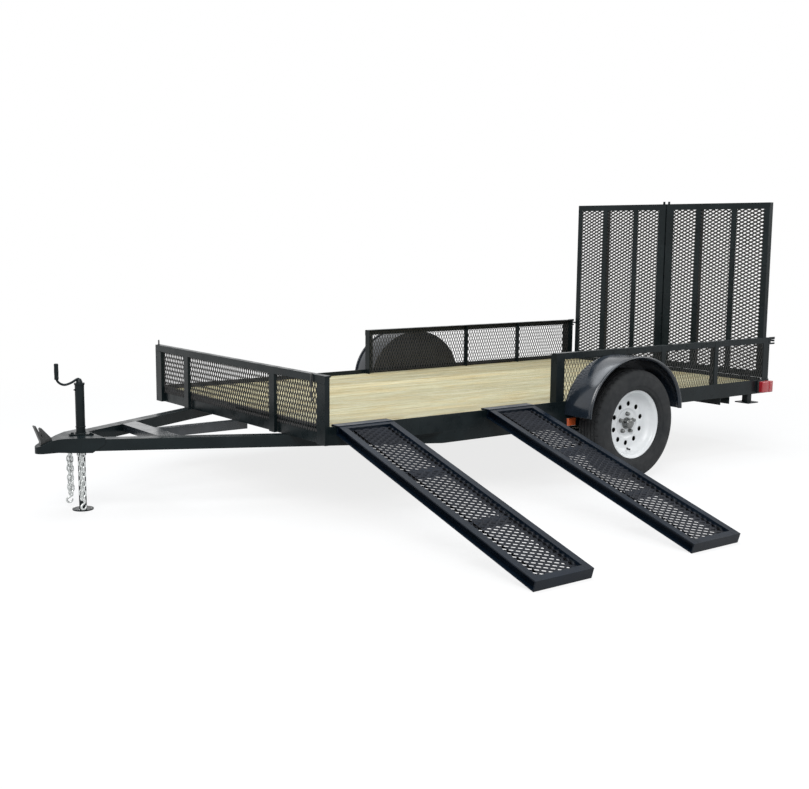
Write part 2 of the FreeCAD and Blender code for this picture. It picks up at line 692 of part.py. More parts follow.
# Wheels
wheel_centre = (behind("axle_x"), WHEEL_Y, above("tyre_radius"))
tyre_outline = [("rim_width / 2", "rim_radius + seat_gap"), ("tyre_width / 2", "rim_radius + bead_flare"),
                ("tyre_width / 2", "tyre_radius - shoulder_drop"),
                ("tyre_width / 2 - shoulder_width", "tyre_radius"),
                ("shoulder_width - tyre_width / 2", "tyre_radius"),
                ("-tyre_width / 2", "tyre_radius - shoulder_drop"), ("-tyre_width / 2", "rim_radius + seat_gap")]
tyre = name_piece(revolve("tyre_ring", tyre_outline, wheel_centre), "tyre_left")
mirrored(tyre, "tyre_right")

rim_outline = [("rim_width / 2", "rim_radius"), ("-rim_width / 2", "rim_radius"),
               ("-rim_width / 2", "rim_radius - rim_wall"), ("rim_width / 2", "rim_radius - rim_wall")]
barrel = revolve("rim_barrel", rim_outline, wheel_centre)
disc_outline = [("disc_place", "rim_radius - rim_wall / 2"), ("disc_place", "hub_radius + 26"),
                ("disc_place - 8", "hub_radius + 26"), ("disc_place - 8", "cap_radius + seat_gap"),
                ("disc_place - 16", "cap_radius + seat_gap"), ("disc_place - 16", "hub_radius + 34"),
                ("disc_place - 8", "hub_radius + 34"), ("disc_place - 8", "rim_radius - rim_wall / 2")]
disc = revolve("rim_disc", disc_outline, wheel_centre)
rim_solid = fuse("rim_solid", [barrel, disc])


def ring_of(name, count, circle, radius, length, start):
    """Cylinders along minus Y on a circle about the wheel's axis."""
    return [cylinder(f"{name}_{index}", radius, length,
                     (f"{wheel_centre[0]} + {circle} * cos(360 / {count} * {index} + ring_turn)", start,
                      f"{wheel_centre[2]} + {circle} * sin(360 / {count} * {index} + ring_turn)"), "XZ")
            for index in range(int(number(count)))]


vents = fuse("rim_vents", ring_of("vent", "vent_count", "vent_circle", "vent_radius", "60",
                                  f"{WHEEL_Y} + disc_place + 30"))
rim = name_piece(cut("rim_cut", rim_solid, vents), "rim_left")
mirrored(rim, "rim_right")

hub_outline = [("disc_place - 16 - seat_gap", "spindle_radius + spindle_gap"),
               ("disc_place - 16 - seat_gap", "hub_radius + 14"), ("disc_place - 28", "hub_radius + 14"),
               ("disc_place - 28", "hub_radius - 24"), ("disc_place - hub_length", "hub_radius - 24"),
               ("disc_place - hub_length", "spindle_radius + spindle_gap")]
cap_outline = [("disc_place - 16 - seat_gap", "0"), ("disc_place - 16 - seat_gap", "cap_radius - 1"),
               ("disc_place + cap_length", "cap_radius - 1"), ("disc_place + cap_length", "0")]
hub = fuse("hub_set", [revolve("hub_body", hub_outline, wheel_centre), revolve("hub_cap", cap_outline, wheel_centre)])
name_piece(hub, "hub_left")
mirrored(hub, "hub_right")
nuts = []
for index in range(5):
    turn = f"(72 * {index} + ring_turn)"
    corners = [(f"lug_circle * cos{turn} + lug_radius * cos({60 * corner})",
                f"lug_circle * sin{turn} + lug_radius * sin({60 * corner})") for corner in range(6)]
    nuts.append(extrude(f"nut_{index}", corners, "18",
                        (wheel_centre[0], f"{WHEEL_Y} + disc_place - 8 + seat_gap + 18", wheel_centre[2]), "XZ"))
lug_set = name_piece(group("nut_group", nuts), "lug_nuts_left")
mirrored(lug_set, "lug_nuts_right")


def axle_shape():
    """A round beam that steps up at both ends to the spindles in the hubs."""
    radius, drop = number("beam_radius"), number("beam_drop")
    bend, knee = number(f"{SPRING_Y} + 44"), number(f"{WHEEL_Y} + disc_place - hub_length - 30")
    shoulder = number(f"{WHEEL_Y} + disc_place - hub_length - 4")
    tip = number(f"{WHEEL_Y} + disc_place - 22")
    path = [FreeCAD.Vector(0, y, z) for y, z in ((-shoulder, 0), (-knee, 0), (-bend, -drop), (bend, -drop),
                                                 (knee, 0), (shoulder, 0))]
    ends = [Part.makeCylinder(number("spindle_radius"), tip - shoulder, FreeCAD.Vector(0, side * shoulder, 0),
                              FreeCAD.Vector(0, side, 0)) for side in (-1, 1)]
    return bent_rod(path, radius).fuse(ends)


name_piece(feature("axle", axle_shape(), (wheel_centre[0], "0", above("tyre_radius"))), "axle_beam")


def spring_shape():
    """Leaves of falling length under a main leaf whose ends are rolled into eyes, with the seat on the beam."""
    half, wide, thick = number("spring_half"), number("spring_width"), number("leaf_thickness")
    eye, eye_radius = number("eye_height - tyre_radius"), number("eye_radius")
    seat = number("beam_radius - beam_drop")
    low = seat + 6
    camber = eye - (low + 3 * thick)
    solids = []

    def arc_leaf(reach, base):
        """One leaf as the band between two arcs in the XZ plane."""
        def rise(x):
            return base + camber * (x / half) ** 2
        corners = [FreeCAD.Vector(x, 0, rise(x)) for x in (-reach, 0, reach)]
        upper = [point + FreeCAD.Vector(0, 0, thick) for point in corners]
        edges = [Part.Arc(*corners).toShape(), Part.LineSegment(corners[2], upper[2]).toShape(),
                 Part.Arc(*reversed(upper)).toShape(), Part.LineSegment(upper[0], corners[0]).toShape()]
        return Part.Face(Part.Wire(edges)).extrude(FreeCAD.Vector(0, wide, 0))

    for index, share in enumerate((0.42, 0.62, 0.82, 1.0)):
        solids.append(arc_leaf(half * share - (eye_radius if share == 1.0 else 0), low + index * thick))
    for end in (-1, 1):
        centre = FreeCAD.Vector(end * half, 0, eye + thick / 2)
        ring = Part.makeCylinder(eye_radius, wide, centre, FreeCAD.Vector(0, 1, 0))
        solids.append(ring.cut(Part.makeCylinder(eye_radius - thick, wide, centre, FreeCAD.Vector(0, 1, 0))))
    pad = number("seat_length")
    solids.append(Part.makeBox(pad, wide, 12, FreeCAD.Vector(-pad / 2, 0, low - 12)))
    whole = solids[0].fuse(solids[1:])
    beam = Part.makeCylinder(number("beam_radius"), wide, FreeCAD.Vector(0, 0, number("-beam_drop")),
                             FreeCAD.Vector(0, 1, 0))
    return whole.cut(beam)


spring = feature("spring", spring_shape(), (wheel_centre[0], f"{SPRING_Y} - spring_width / 2",
                                            above("tyre_radius")))
name_piece(spring, "leaf_spring_left")
mirrored(spring, "leaf_spring_right")


def hanger(tag, spot, top):
    """A folded plate that hangs from a rail and holds a spring eye between its cheeks on a bolt."""
    wide = "spring_width + 2 * hanger_wall + 1"
    middle = f"{behind('axle_x')} + {spot}"
    outline = [(f"{middle} - 32", above(top)), (f"{middle} + 32", above(top)),
               (f"{middle} + 18", above("eye_height - 14")), (f"{middle} - 18", above("eye_height - 14"))]
    block = extrude(f"hanger_{tag}", outline, wide, ("0", f"{SPRING_Y} + ({wide}) / 2", "0"), "XZ")
    slot = box(f"hanger_slot_{tag}", ("100", "spring_width + 1", "200"),
               (f"{middle} - 50", f"{SPRING_Y} - (spring_width + 1) / 2", above(f"{top} - hanger_wall - 200")))
    bolt = cylinder(f"hanger_bolt_{tag}", "eye_radius - leaf_thickness - seat_gap", f"{wide} + 16",
                    (middle, f"{SPRING_Y} + ({wide}) / 2 + 8", above("eye_height + leaf_thickness / 2")), "XZ")
    return fuse(f"hanger_set_{tag}", [cut(f"hanger_cut_{tag}", block, slot), bolt])


hangers = group("hanger_pair", [hanger("front", "spring_half", LEG_BOTTOM), hanger("rear", "-spring_half", RAIL_BOTTOM)])
name_piece(hangers, "spring_hangers_left")
mirrored(hangers, "spring_hangers_right")

# Gate halves: angle frame, two angle uprights, mesh bays and a latch pin
gate_face = behind("bed_length + gate_offset")
gate_parts = []
tall = "gate_height"
stile_in = turned(angle("angle_leg", "gate_stile", "angle_wall"), x_sign=-1)
gate_parts.append(extrude("gate_stile_in", stile_in, tall, (gate_face, "gate_split / 2", above("gate_base"))))
stile_out = turned(angle("angle_leg", "gate_leg", "angle_wall"), x_sign=-1, y_sign=-1)
gate_parts.append(extrude("gate_stile_out", stile_out, tall,
                          (gate_face, f"gate_split / 2 + {gate_width}", above("gate_base"))))
bar_low = turned(angle("angle_leg", "gate_leg", "angle_wall"), x_sign=-1)
gate_parts.append(extrude("gate_bar_low", bar_low, gate_width,
                          (gate_face, f"gate_split / 2 + {gate_width}", above("gate_base")), "XZ"))
bar_high = turned(angle("angle_leg", "gate_leg", "angle_wall"), x_sign=-1, y_sign=-1)
gate_parts.append(extrude("gate_bar_high", bar_high, gate_width,
                          (gate_face, f"gate_split / 2 + {gate_width}", above("gate_base + gate_height")), "XZ"))
middle_bars = (("gate_upright", 1), (f"{gate_width} - gate_upright", -1))
for index, (spot, sign) in enumerate(middle_bars):
    bar = turned(angle("angle_leg", "gate_leg", "angle_wall"), x_sign=-1, y_sign=-sign)
    gate_parts.append(extrude(f"gate_upright_{index}", bar, f"{tall} - angle_wall",
                              (gate_face, f"gate_split / 2 + {spot} + {sign} * gate_leg / 2",
                               above("gate_base + angle_wall / 2"))))
gate_parts.append(cylinder("latch_pin", "pin_radius", "gate_clear + 26",
                           (pin_x, f"{HALF} + 4", above("pin_height")), "XZ"))
gate_parts.append(box("gate_tab", ("angle_wall", "18", "20"),
                      (f"{gate_face} - angle_wall", "gate_split / 2 + 8", above("gate_base + gate_height - 2"))))
pin_holes = []
for index, middle in enumerate(gate_hinges):
    for end, side in (("inner", -1), ("outer", 1)):
        near = f"{middle} + {side} * (hinge_length / 2 + tab_gap + hinge_tab / 2)"
        tab = [("-tab_radius / 2", "-tab_radius"), ("tab_radius / 2", "-tab_radius"),
               ("tab_radius", "-tab_radius / 2"), ("tab_radius", "gate_base + angle_wall - hinge_height"),
               ("-tab_radius", "gate_base + angle_wall - hinge_height"), ("-tab_radius", "-tab_radius / 2")]
        gate_parts.append(extrude(f"hinge_tab_{end}_{index}", tab, "hinge_tab",
                                  (pin_x, f"{near} + hinge_tab / 2", above("hinge_height")), "XZ"))
    pin_holes.append(cylinder(f"tab_hole_{index}", "hinge_pin + spindle_gap", "hinge_length + 6 * hinge_tab",
                              (pin_x, f"{middle} + hinge_length / 2 + 3 * hinge_tab", above("hinge_height")), "XZ"))
gate_frame = cut("gate_frame", fuse("gate_frame_set", gate_parts), group("gate_pin_holes", pin_holes))
name_piece(gate_frame, "gate_frame_left")
mirrored(gate_frame, "gate_frame_right")

gate_bays = []
edges = ["angle_wall", "gate_upright + gate_leg / 2 - angle_wall", "gate_upright + gate_leg / 2",
         f"{gate_width} - gate_upright - gate_leg / 2", f"{gate_width} - gate_upright - gate_leg / 2 + angle_wall",
         f"{gate_width} - angle_wall"]
for index in range(3):
    left, right = edges[2 * index], edges[2 * index + 1]
    width = number(f"{right} - ({left}) - 2 * seat_gap")
    height = number("gate_height - 2 * angle_wall - 2 * seat_gap")
    sheet = diamond_sheet(width, height, number("mesh_long"), number("mesh_short"))
    gate_bays.append(feature(f"gate_bay_{index}", sheet,
                             (f"{gate_face} - angle_wall - seat_gap", f"gate_split / 2 + {left} + seat_gap",
                              above("gate_base + angle_wall + seat_gap")),
                             FreeCAD.Rotation(FreeCAD.Vector(0, 0, 1), 90)))
gate_mesh = name_piece(group("gate_bays", gate_bays), "gate_mesh_left")
mirrored(gate_mesh, "gate_mesh_right")

# Ramps: box frames with crossbars, mesh bays and a lip with a round bead that hooks over the left rail
lip = "5"
ramp_top = f"(rail_top + seat_gap + {lip})"
ramp_rise = f"({ramp_top} - floor_gap)"
ramp_tilt = f"(asin({ramp_rise} / sqrt(ramp_length^2 + ramp_depth^2)) - atan(ramp_depth / ramp_length))"
ramp_edge = f"({HALF} + 2 + ramp_depth * sin({ramp_tilt}))"


def tilt(thing, corner):
    """Lays a piece of a ramp down from the deck edge to the ground."""
    thing.Placement = FreeCAD.Placement(FreeCAD.Vector(), FreeCAD.Rotation(FreeCAD.Vector(-1, 0, 0), 10))
    thing.setExpression("Placement.Rotation.Angle", bound(ramp_tilt))
    return place(thing, corner)


def ramp(tag, spot):
    """One ramp's frame and mesh, drawn flat with its top face at Z 0 and then laid down."""
    low = "ramp_depth - mesh_recess - sheet_thickness - seat_gap"
    bars = []
    for index, (corner_x, corner_y, wide, long, tall) in enumerate((
            ("0", "0", "ramp_bar", "ramp_length", "ramp_depth"),
            ("ramp_width - ramp_bar", "0", "ramp_bar", "ramp_length", "ramp_depth"),
            ("ramp_bar / 2", "0", "ramp_width - ramp_bar", "ramp_bar", "ramp_depth"),
            ("ramp_bar / 2", "(ramp_length - ramp_bar) / 3", "ramp_width - ramp_bar", "ramp_bar", low),
            ("ramp_bar / 2", "(ramp_length - ramp_bar) * 2 / 3", "ramp_width - ramp_bar", "ramp_bar", low),
            ("ramp_bar / 2", "ramp_length - ramp_bar", "ramp_width - ramp_bar", "ramp_bar", "ramp_depth"))):
        bars.append(box(f"ramp_bar_{tag}_{index}", (wide, long, tall), (corner_x, corner_y, "-ramp_depth")))
    hollows = [box(f"ramp_hollow_{tag}_{side}", ("ramp_bar - ramp_wall", "ramp_length - 2 * ramp_wall",
                                                 "ramp_depth - 2 * ramp_wall"),
                   (("-1", "ramp_width - ramp_bar + ramp_wall + 1")[side], "ramp_wall", "ramp_wall - ramp_depth"))
               for side in (0, 1)]
    frame = cut(f"ramp_shell_{tag}", fuse(f"ramp_bars_{tag}", bars), group(f"ramp_hollows_{tag}", hollows))
    corner = (behind(f"{spot} + ramp_width"), ramp_edge, above(ramp_top))
    tilt(frame, corner)
    hook = extrude(f"ramp_lip_{tag}", [
        (f"{HALF} - rail_wall - lip_reach + {lip}", above(f"rail_top + seat_gap - lip_tip")),
        (f"{HALF} - rail_wall - lip_reach + {lip}", above("rail_top + seat_gap")),
        (f"{ramp_edge} + 12", above("rail_top + seat_gap")), (f"{ramp_edge} + 12", above(ramp_top)),
        (f"{HALF} - rail_wall - lip_reach", above(ramp_top)),
        (f"{HALF} - rail_wall - lip_reach", above(f"rail_top + seat_gap - lip_tip"))],
        "ramp_width", (behind(f"{spot} + ramp_width"), "0", "0"), "YZ")
    bead = cylinder(f"ramp_bead_{tag}", "lip_bead", "ramp_width", (behind(f"{spot} + ramp_width"),
                    f"{HALF} - rail_wall - lip_reach", above("rail_top + seat_gap")), "YZ")
    name_piece(fuse(f"ramp_frame_set_{tag}", [frame, hook, bead]), f"ramp_frame_{tag}")
    width = number("ramp_width - 2 * ramp_bar - 2 * seat_gap")
    height = number("ramp_length - 2 * ramp_bar - 2 * seat_gap")
    sheet = feature(f"ramp_sheet_{tag}", diamond_sheet(width, height, number("mesh_long"), number("mesh_short")),
                    ("ramp_bar + seat_gap", "ramp_bar + seat_gap", "-mesh_recess"),
                    FreeCAD.Rotation(FreeCAD.Vector(1, 0, 0), -90))
    mesh = group(f"ramp_bay_{tag}", [sheet])
    tilt(mesh, corner)
    name_piece(mesh, f"ramp_mesh_{tag}")


ramp("front", "ramp_front_place")
ramp("rear", "ramp_rear_place")

# Lamps on the rails: amber markers ahead of the fenders, red tail lamps at the rear corners
marker = box("marker_left", ("marker_length", "marker_depth", "marker_height"),
             (behind("marker_place + marker_length / 2"), f"{HALF} + seat_gap",
              above(f"{LEG_BOTTOM} + (leg_height - marker_height) / 2")))
name_piece(marker, "marker_lamp_left")
mirrored(marker, "marker_lamp_right")
lamp_x = "bed_length - 8"
lamp_z = f"{RAIL_BOTTOM} + 6"
housing = box("lamp_housing", ("tail_lamp_length - tail_lens_length", "tail_lamp_depth", "tail_lamp_height"),
              (behind(f"{lamp_x} - tail_lens_length"), f"{HALF} + seat_gap", above(lamp_z)))
name_piece(housing, "tail_lamp_housing_left")
mirrored(housing, "tail_lamp_housing_right")
lens = box("lamp_lens", ("tail_lens_length - seat_gap", "tail_lamp_depth", "tail_lamp_height"),
           (behind(lamp_x), f"{HALF} + seat_gap", above(lamp_z)))
name_piece(lens, "tail_lamp_lens_left")
mirrored(lens, "tail_lamp_lens_right")

# Rear skid feet and the stowage bar under the deck
skid_y = f"({HALF} - skid_inset)"
stem = box("skid_stem_box", ("skid_stem", "skid_stem", f"{RAIL_BOTTOM} - skid_bottom"),
           (behind("bed_length - skid_back + skid_stem / 2"), f"{skid_y} + skid_stem / 2", above("skid_bottom")))
sole = box("skid_sole", ("skid_foot", "skid_foot", "skid_plate"),
           (behind("bed_length - skid_back + skid_foot / 2"), f"{skid_y} + skid_stem - skid_foot / 2", above("skid_bottom")))
skid = name_piece(fuse("skid", [stem, sole]), "rear_skid_left")
mirrored(skid, "rear_skid_right")
stow_section = [("0", "0"), ("stow_wall", "0"), ("stow_wall", "stow_depth - stow_wall"),
                ("stow_width - stow_wall", "stow_depth - stow_wall"), ("stow_width - stow_wall", "0"),
                ("stow_width", "0"), ("stow_width", "stow_depth"), ("0", "stow_depth")]
stow = extrude("stow_channel", stow_section, "bed_width - 20",
               (behind("bed_length - stow_back + stow_width / 2"), f"{HALF} - 10", above(f"{RAIL_BOTTOM} - stow_depth")), "XZ")
name_piece(stow, "stowage_bar")


def chain_link():
    """One flat link with bevelled ends, standing along Z in the XZ plane."""
    reach, side, wire = number("link_length / 2"), number("link_width / 2"), number("link_wire")
    bevel = side * 0.55

    def loop(quarter):
        corners = quarter + [(x, -z) for x, z in reversed(quarter)]
        corners += [(-x, -z) for x, z in quarter] + [(-x, z) for x, z in reversed(quarter)]
        points = [FreeCAD.Vector(x, -wire / 2, z) for x, z in corners]
        return Part.makePolygon(points + points[:1])

    outline = loop([(side - bevel, reach), (side, reach - bevel)])
    opening = loop([(side - wire, reach - wire)])
    return Part.makeFace([outline, opening], "Part::FaceMakerCheese").extrude(FreeCAD.Vector(0, wire, 0))


def chain(tag, middle):
    """A chain doubled over the rod: two strands side by side."""
    pitch = "(link_length - 2 * link_wire - seat_gap)"
    links = []
    for strand in (-1, 1):
        for index in range(int(number("links_down"))):
            links.append(feature(f"link_{tag}_{'inner' if strand < 0 else 'outer'}_{index}", chain_link(),
                                 ("-chain_x", f"{middle} + {strand} * chain_spread / 2",
                                  f"{ROD_TOP} + link_wire + seat_gap - link_length / 2 - {index} * {pitch}"),
                                 FreeCAD.Rotation(FreeCAD.Vector(0, 0, 1), 90 * (index % 2))))
    return links


chains = group("chain_pair", chain("left", "chain_place") + chain("right", "-chain_place"))
name_piece(chains, "safety_chains")
chain_bar = [cylinder("chain_bar_rod", "chain_rod", "chain_rod_length",
                      ("-chain_x", "chain_rod_length / 2", f"{ROD_TOP} - chain_rod"), "XZ")]
for index, spot in enumerate(("-chain_rod_length / 2", "chain_rod_length / 2 - chain_lug")):
    chain_bar.append(box(f"chain_lug_{index}", ("2 * chain_rod", "chain_lug", "chain_rod + link_wire + 2 * seat_gap"),
                         ("-chain_x - chain_rod", spot, f"{ROD_TOP} - chain_rod")))
name_piece(fuse("chain_bar_set", chain_bar), "chain_bar")

doc.recompute()
for thing in doc.Objects:
    if "Invalid" in thing.State or "Error" in thing.State:
        raise RuntimeError(f"{thing.Label} failed: {thing.State}")
for piece in pieces:
    shape = piece.Shape
    if shape.isNull() or not shape.isValid():
        raise RuntimeError(f"{piece.Label} has a bad shape")
    shape.exportStep(f"parts/{piece.Label}.step")
print(len(pieces), "pieces written")
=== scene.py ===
import bmesh
import bpy
import json
import math
import random
from mathutils import Matrix, Vector


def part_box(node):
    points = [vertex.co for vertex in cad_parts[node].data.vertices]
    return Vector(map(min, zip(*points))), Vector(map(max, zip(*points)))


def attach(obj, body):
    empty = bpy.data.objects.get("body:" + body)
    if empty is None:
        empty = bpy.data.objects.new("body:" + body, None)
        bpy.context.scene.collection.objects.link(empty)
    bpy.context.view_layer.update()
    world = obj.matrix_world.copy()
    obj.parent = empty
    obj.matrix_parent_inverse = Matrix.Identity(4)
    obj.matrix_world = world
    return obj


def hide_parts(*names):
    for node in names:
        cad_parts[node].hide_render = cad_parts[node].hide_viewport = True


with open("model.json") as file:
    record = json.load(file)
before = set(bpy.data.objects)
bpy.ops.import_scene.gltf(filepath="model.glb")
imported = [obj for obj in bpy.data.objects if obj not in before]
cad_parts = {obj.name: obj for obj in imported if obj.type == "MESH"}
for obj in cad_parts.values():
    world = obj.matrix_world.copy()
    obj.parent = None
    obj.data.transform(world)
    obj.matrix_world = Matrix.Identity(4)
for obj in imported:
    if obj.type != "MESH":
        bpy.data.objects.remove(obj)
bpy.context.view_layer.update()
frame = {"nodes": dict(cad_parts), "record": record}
nodes = frame["nodes"]
random.seed(7)

# Lengths are in metres from the coupler socket: +X forward, +Y to the trailer's left, +Z up
BED_FRONT = -1.070
BED_REAR = BED_FRONT - 3.658
COUPLER_HEIGHT = 0.350
SIDES = ((1, "left"), (-1, "right"))
UP = (0, 0, 1)


# Shapes

def parts_of(node):
    """The corner points of each loose solid of a CAD node, in order of their lowest corners."""
    mesh = nodes[node].data
    keys = [tuple(round(c, 5) for c in vertex.co) for vertex in mesh.vertices]
    parent = {key: key for key in keys}

    def root(key):
        while parent[key] != key:
            parent[key] = parent[parent[key]]
            key = parent[key]
        return key

    for face in mesh.polygons:
        first = keys[face.vertices[0]]
        for index in face.vertices[1:]:
            parent[root(keys[index])] = root(first)
    groups = {}
    for key in parent:
        groups.setdefault(root(key), []).append(Vector(key))
    return sorted(groups.values(), key=lambda group: tuple(min(p[axis] for p in group) for axis in (2, 1, 0)))


def span(points):
    """The two corners of the box around some points."""
    low = Vector([min(p[axis] for p in points) for axis in range(3)])
    high = Vector([max(p[axis] for p in points) for axis in range(3)])
    return low, high


def inner_outer(box, side):
    """The Y of a box's face towards the trailer's middle, and of the one away from it."""
    low, high = box
    return (low.y, high.y) if side > 0 else (high.y, low.y)


def piece(name, bm, slot, body="chassis", replaces=(), material=None, sharp=38):
    """Makes an object of the mesh, puts it on its body and gives it its finish."""
    bmesh.ops.remove_doubles(bm, verts=bm.verts, dist=1e-6)
    bmesh.ops.recalc_face_normals(bm, faces=bm.faces)
    mesh = bpy.data.meshes.new(name)
    bm.to_mesh(mesh)
    bm.free()
    mesh.shade_smooth()
    mesh.set_sharp_from_angle(angle=math.radians(sharp))
    mesh.materials.append(material or FINISH[slot])
    made = bpy.data.objects.new(name, mesh)
    bpy.context.scene.collection.objects.link(made)
    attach(made, body)
    if replaces:
        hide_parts(*replaces)
    return made


def crosswise(axis):
    """The unit axis and two directions square to it and to each other."""
    axis = Vector(axis).normalized()
    along_frame = max(abs(axis.y), abs(axis.z)) > 0.9
    first = Vector((1, 0, 0)) if along_frame else axis.orthogonal().normalized()
    return axis, first, axis.cross(first)


def skin(bm, rings, closed=False):
    """Joins rings of corners with four-sided faces; closed also joins the last ring to the first."""
    pairs = list(zip(rings, rings[1:])) + ([(rings[-1], rings[0])] if closed else [])
    for lower, upper in pairs:
        for k in range(len(lower)):
            after = (k + 1) % len(lower)
            bm.faces.new((lower[k], lower[after], upper[after], upper[k]))


def turn(bm, base, axis, profile, steps, loop=False, shape=None, phase=0.0):
    """Revolves a profile of distances and radii about an axis through the base."""
    axis, first, second = crosswise(axis)
    base = Vector(base)
    rings = []
    for index, (distance, radius) in enumerate(profile):
        ring = []
        for step in range(steps):
            bend = 2 * math.pi * (step + phase) / steps
            reach = radius if shape is None else shape(step, index, radius)
            out = first * math.cos(bend) + second * math.sin(bend)
            ring.append(bm.verts.new(base + axis * distance + out * reach))
        rings.append(ring)
    skin(bm, rings, loop)


def tube(bm, points, radius, sides=8, closed=False):
    """A round rod along points; the radius is a number or one for each point."""
    points = [Vector(p) for p in points]
    count = len(points)
    sizes = radius if isinstance(radius, (list, tuple)) else [radius] * count
    side = None
    rings = []
    for index, point in enumerate(points):
        before = points[index - 1] if index or closed else point
        after = points[(index + 1) % count] if index + 1 < count or closed else point
        ahead = (after - before).normalized()
        if side is None:
            side = crosswise(ahead)[1]
        side = (side - ahead * side.dot(ahead)).normalized()
        other = ahead.cross(side)
        bends = [2 * math.pi * k / sides for k in range(sides)]
        rings.append([bm.verts.new(point + (side * math.cos(bend) + other * math.sin(bend)) * sizes[index])
                      for bend in bends])
    skin(bm, rings, closed)
    if not closed:
        bm.faces.new(rings[0])
        bm.faces.new(rings[-1])


def smooth_path(points, each):
    """A Catmull-Rom curve through the points, with so many steps for each of its pieces."""
    points = [Vector(p) for p in points]
    ends = [points[0] * 2 - points[1]] + points + [points[-1] * 2 - points[-2]]
    path = []
    for a, b, c, d in zip(ends, ends[1:], ends[2:], ends[3:]):
        for step in range(each):
            t = step / each
            path.append(0.5 * (2 * b + (c - a) * t + (2 * a - 5 * b + 4 * c - d) * t * t
                               + (3 * b - 3 * c + d - a) * t ** 3))
    return path + [points[-1]]


def slab(bm, low, high, bevel, segments=2):
    """A block with rounded edges between two corners."""
    low, high = Vector(low), Vector(high)
    made = bmesh.ops.create_cube(bm, size=1.0)["verts"]
    bmesh.ops.scale(bm, vec=high - low, verts=made)
    bmesh.ops.translate(bm, vec=(low + high) / 2, verts=made)
    edges = []
    for vertex in made:
        edges += [edge for edge in vertex.link_edges if edge not in edges]
    bmesh.ops.bevel(bm, geom=edges, offset=bevel, segments=segments, affect="EDGES", profile=0.5)


def prism(bm, outline, depth):
    """A plate: an outline of points pushed along a vector."""
    lower = [bm.verts.new(Vector(p)) for p in outline]
    upper = [bm.verts.new(Vector(p) + Vector(depth)) for p in outline]
    bm.faces.new(lower)
    bm.faces.new(upper)
    skin(bm, [lower, upper])


def bolt(bm, base, axis, size=0.008, washer=True):
    """A hexagon head with a chamfer, on a washer where there is one; its base lies on the surface."""
    if washer:
        turn(bm, base, axis, [(0, 0), (0, size * 1.35), (size * 0.18, size * 1.35), (size * 0.22, size * 1.25),
                              (size * 0.22, 0)], 18)
    top = size * 0.95
    turn(bm, base, axis, [(0, 0), (0, size), (top * 0.86, size), (top, size * 0.82), (top, 0)], 6)
    turn(bm, base, axis, [(top * 0.9, 0), (top * 0.9, size * 0.72), (top * 1.02, size * 0.66), (top * 1.02, 0)], 14)


def weld(bm, start, end, radius=0.0032, step=0.0016):
    """A rippled bead along a seam, with a ring of corners at each step."""
    start, end = Vector(start), Vector(end)
    count = max(4, int((end - start).length / step))
    points = [start.lerp(end, index / count) for index in range(count + 1)]
    sizes = [radius * (0.78 + 0.26 * abs(math.sin(index * math.pi / 3)) + 0.05 * random.random())
             for index in range(count + 1)]
    sizes[0] = sizes[-1] = radius * 0.4
    tube(bm, points, sizes, 6)


def expanded(bm, corner, along, across, run, rise, long, short, strand, lean, gauge=0.0019):
    """Expanded metal: staggered zigzag strands, leaning out of the sheet, that meet at their bonds.

    The strands run along the sheet's run; long and short are the diamonds' two pitches."""
    along, across = Vector(along).normalized(), Vector(across).normalized()
    normal = along.cross(across)
    steps = max(2, round(run / (long / 2)))
    lines = max(2, round((rise - strand) / (short / 2)))
    pitch, gap = run / steps, (rise - strand * 0.6) / lines
    face = (across * math.cos(lean) + normal * math.sin(lean)) * strand / 2
    thick = (normal * math.cos(lean) - across * math.sin(lean)) * gauge / 2
    start = Vector(corner) + across * (strand * 0.3 + gap / 2)
    for line in range(lines):
        rings = []
        for step in range(steps + 1):
            swing = gap / 2 if (line + step) % 2 else -gap / 2
            point = start + along * (pitch * step) + across * (gap * line + swing)
            rings.append([bm.verts.new(point + a + b) for a, b in
                          ((face, thick), (face, -thick), (-face, -thick), (-face, thick))])
        skin(bm, rings)


# Materials

def add_node(tree, kind, **settings):
    """A new node; each setting goes to the input of that name, or else to the property."""
    made = tree.nodes.new(kind)
    for key, value in settings.items():
        if key in made.inputs:
            made.inputs[key].default_value = value
        else:
            setattr(made, key, value)
    return made


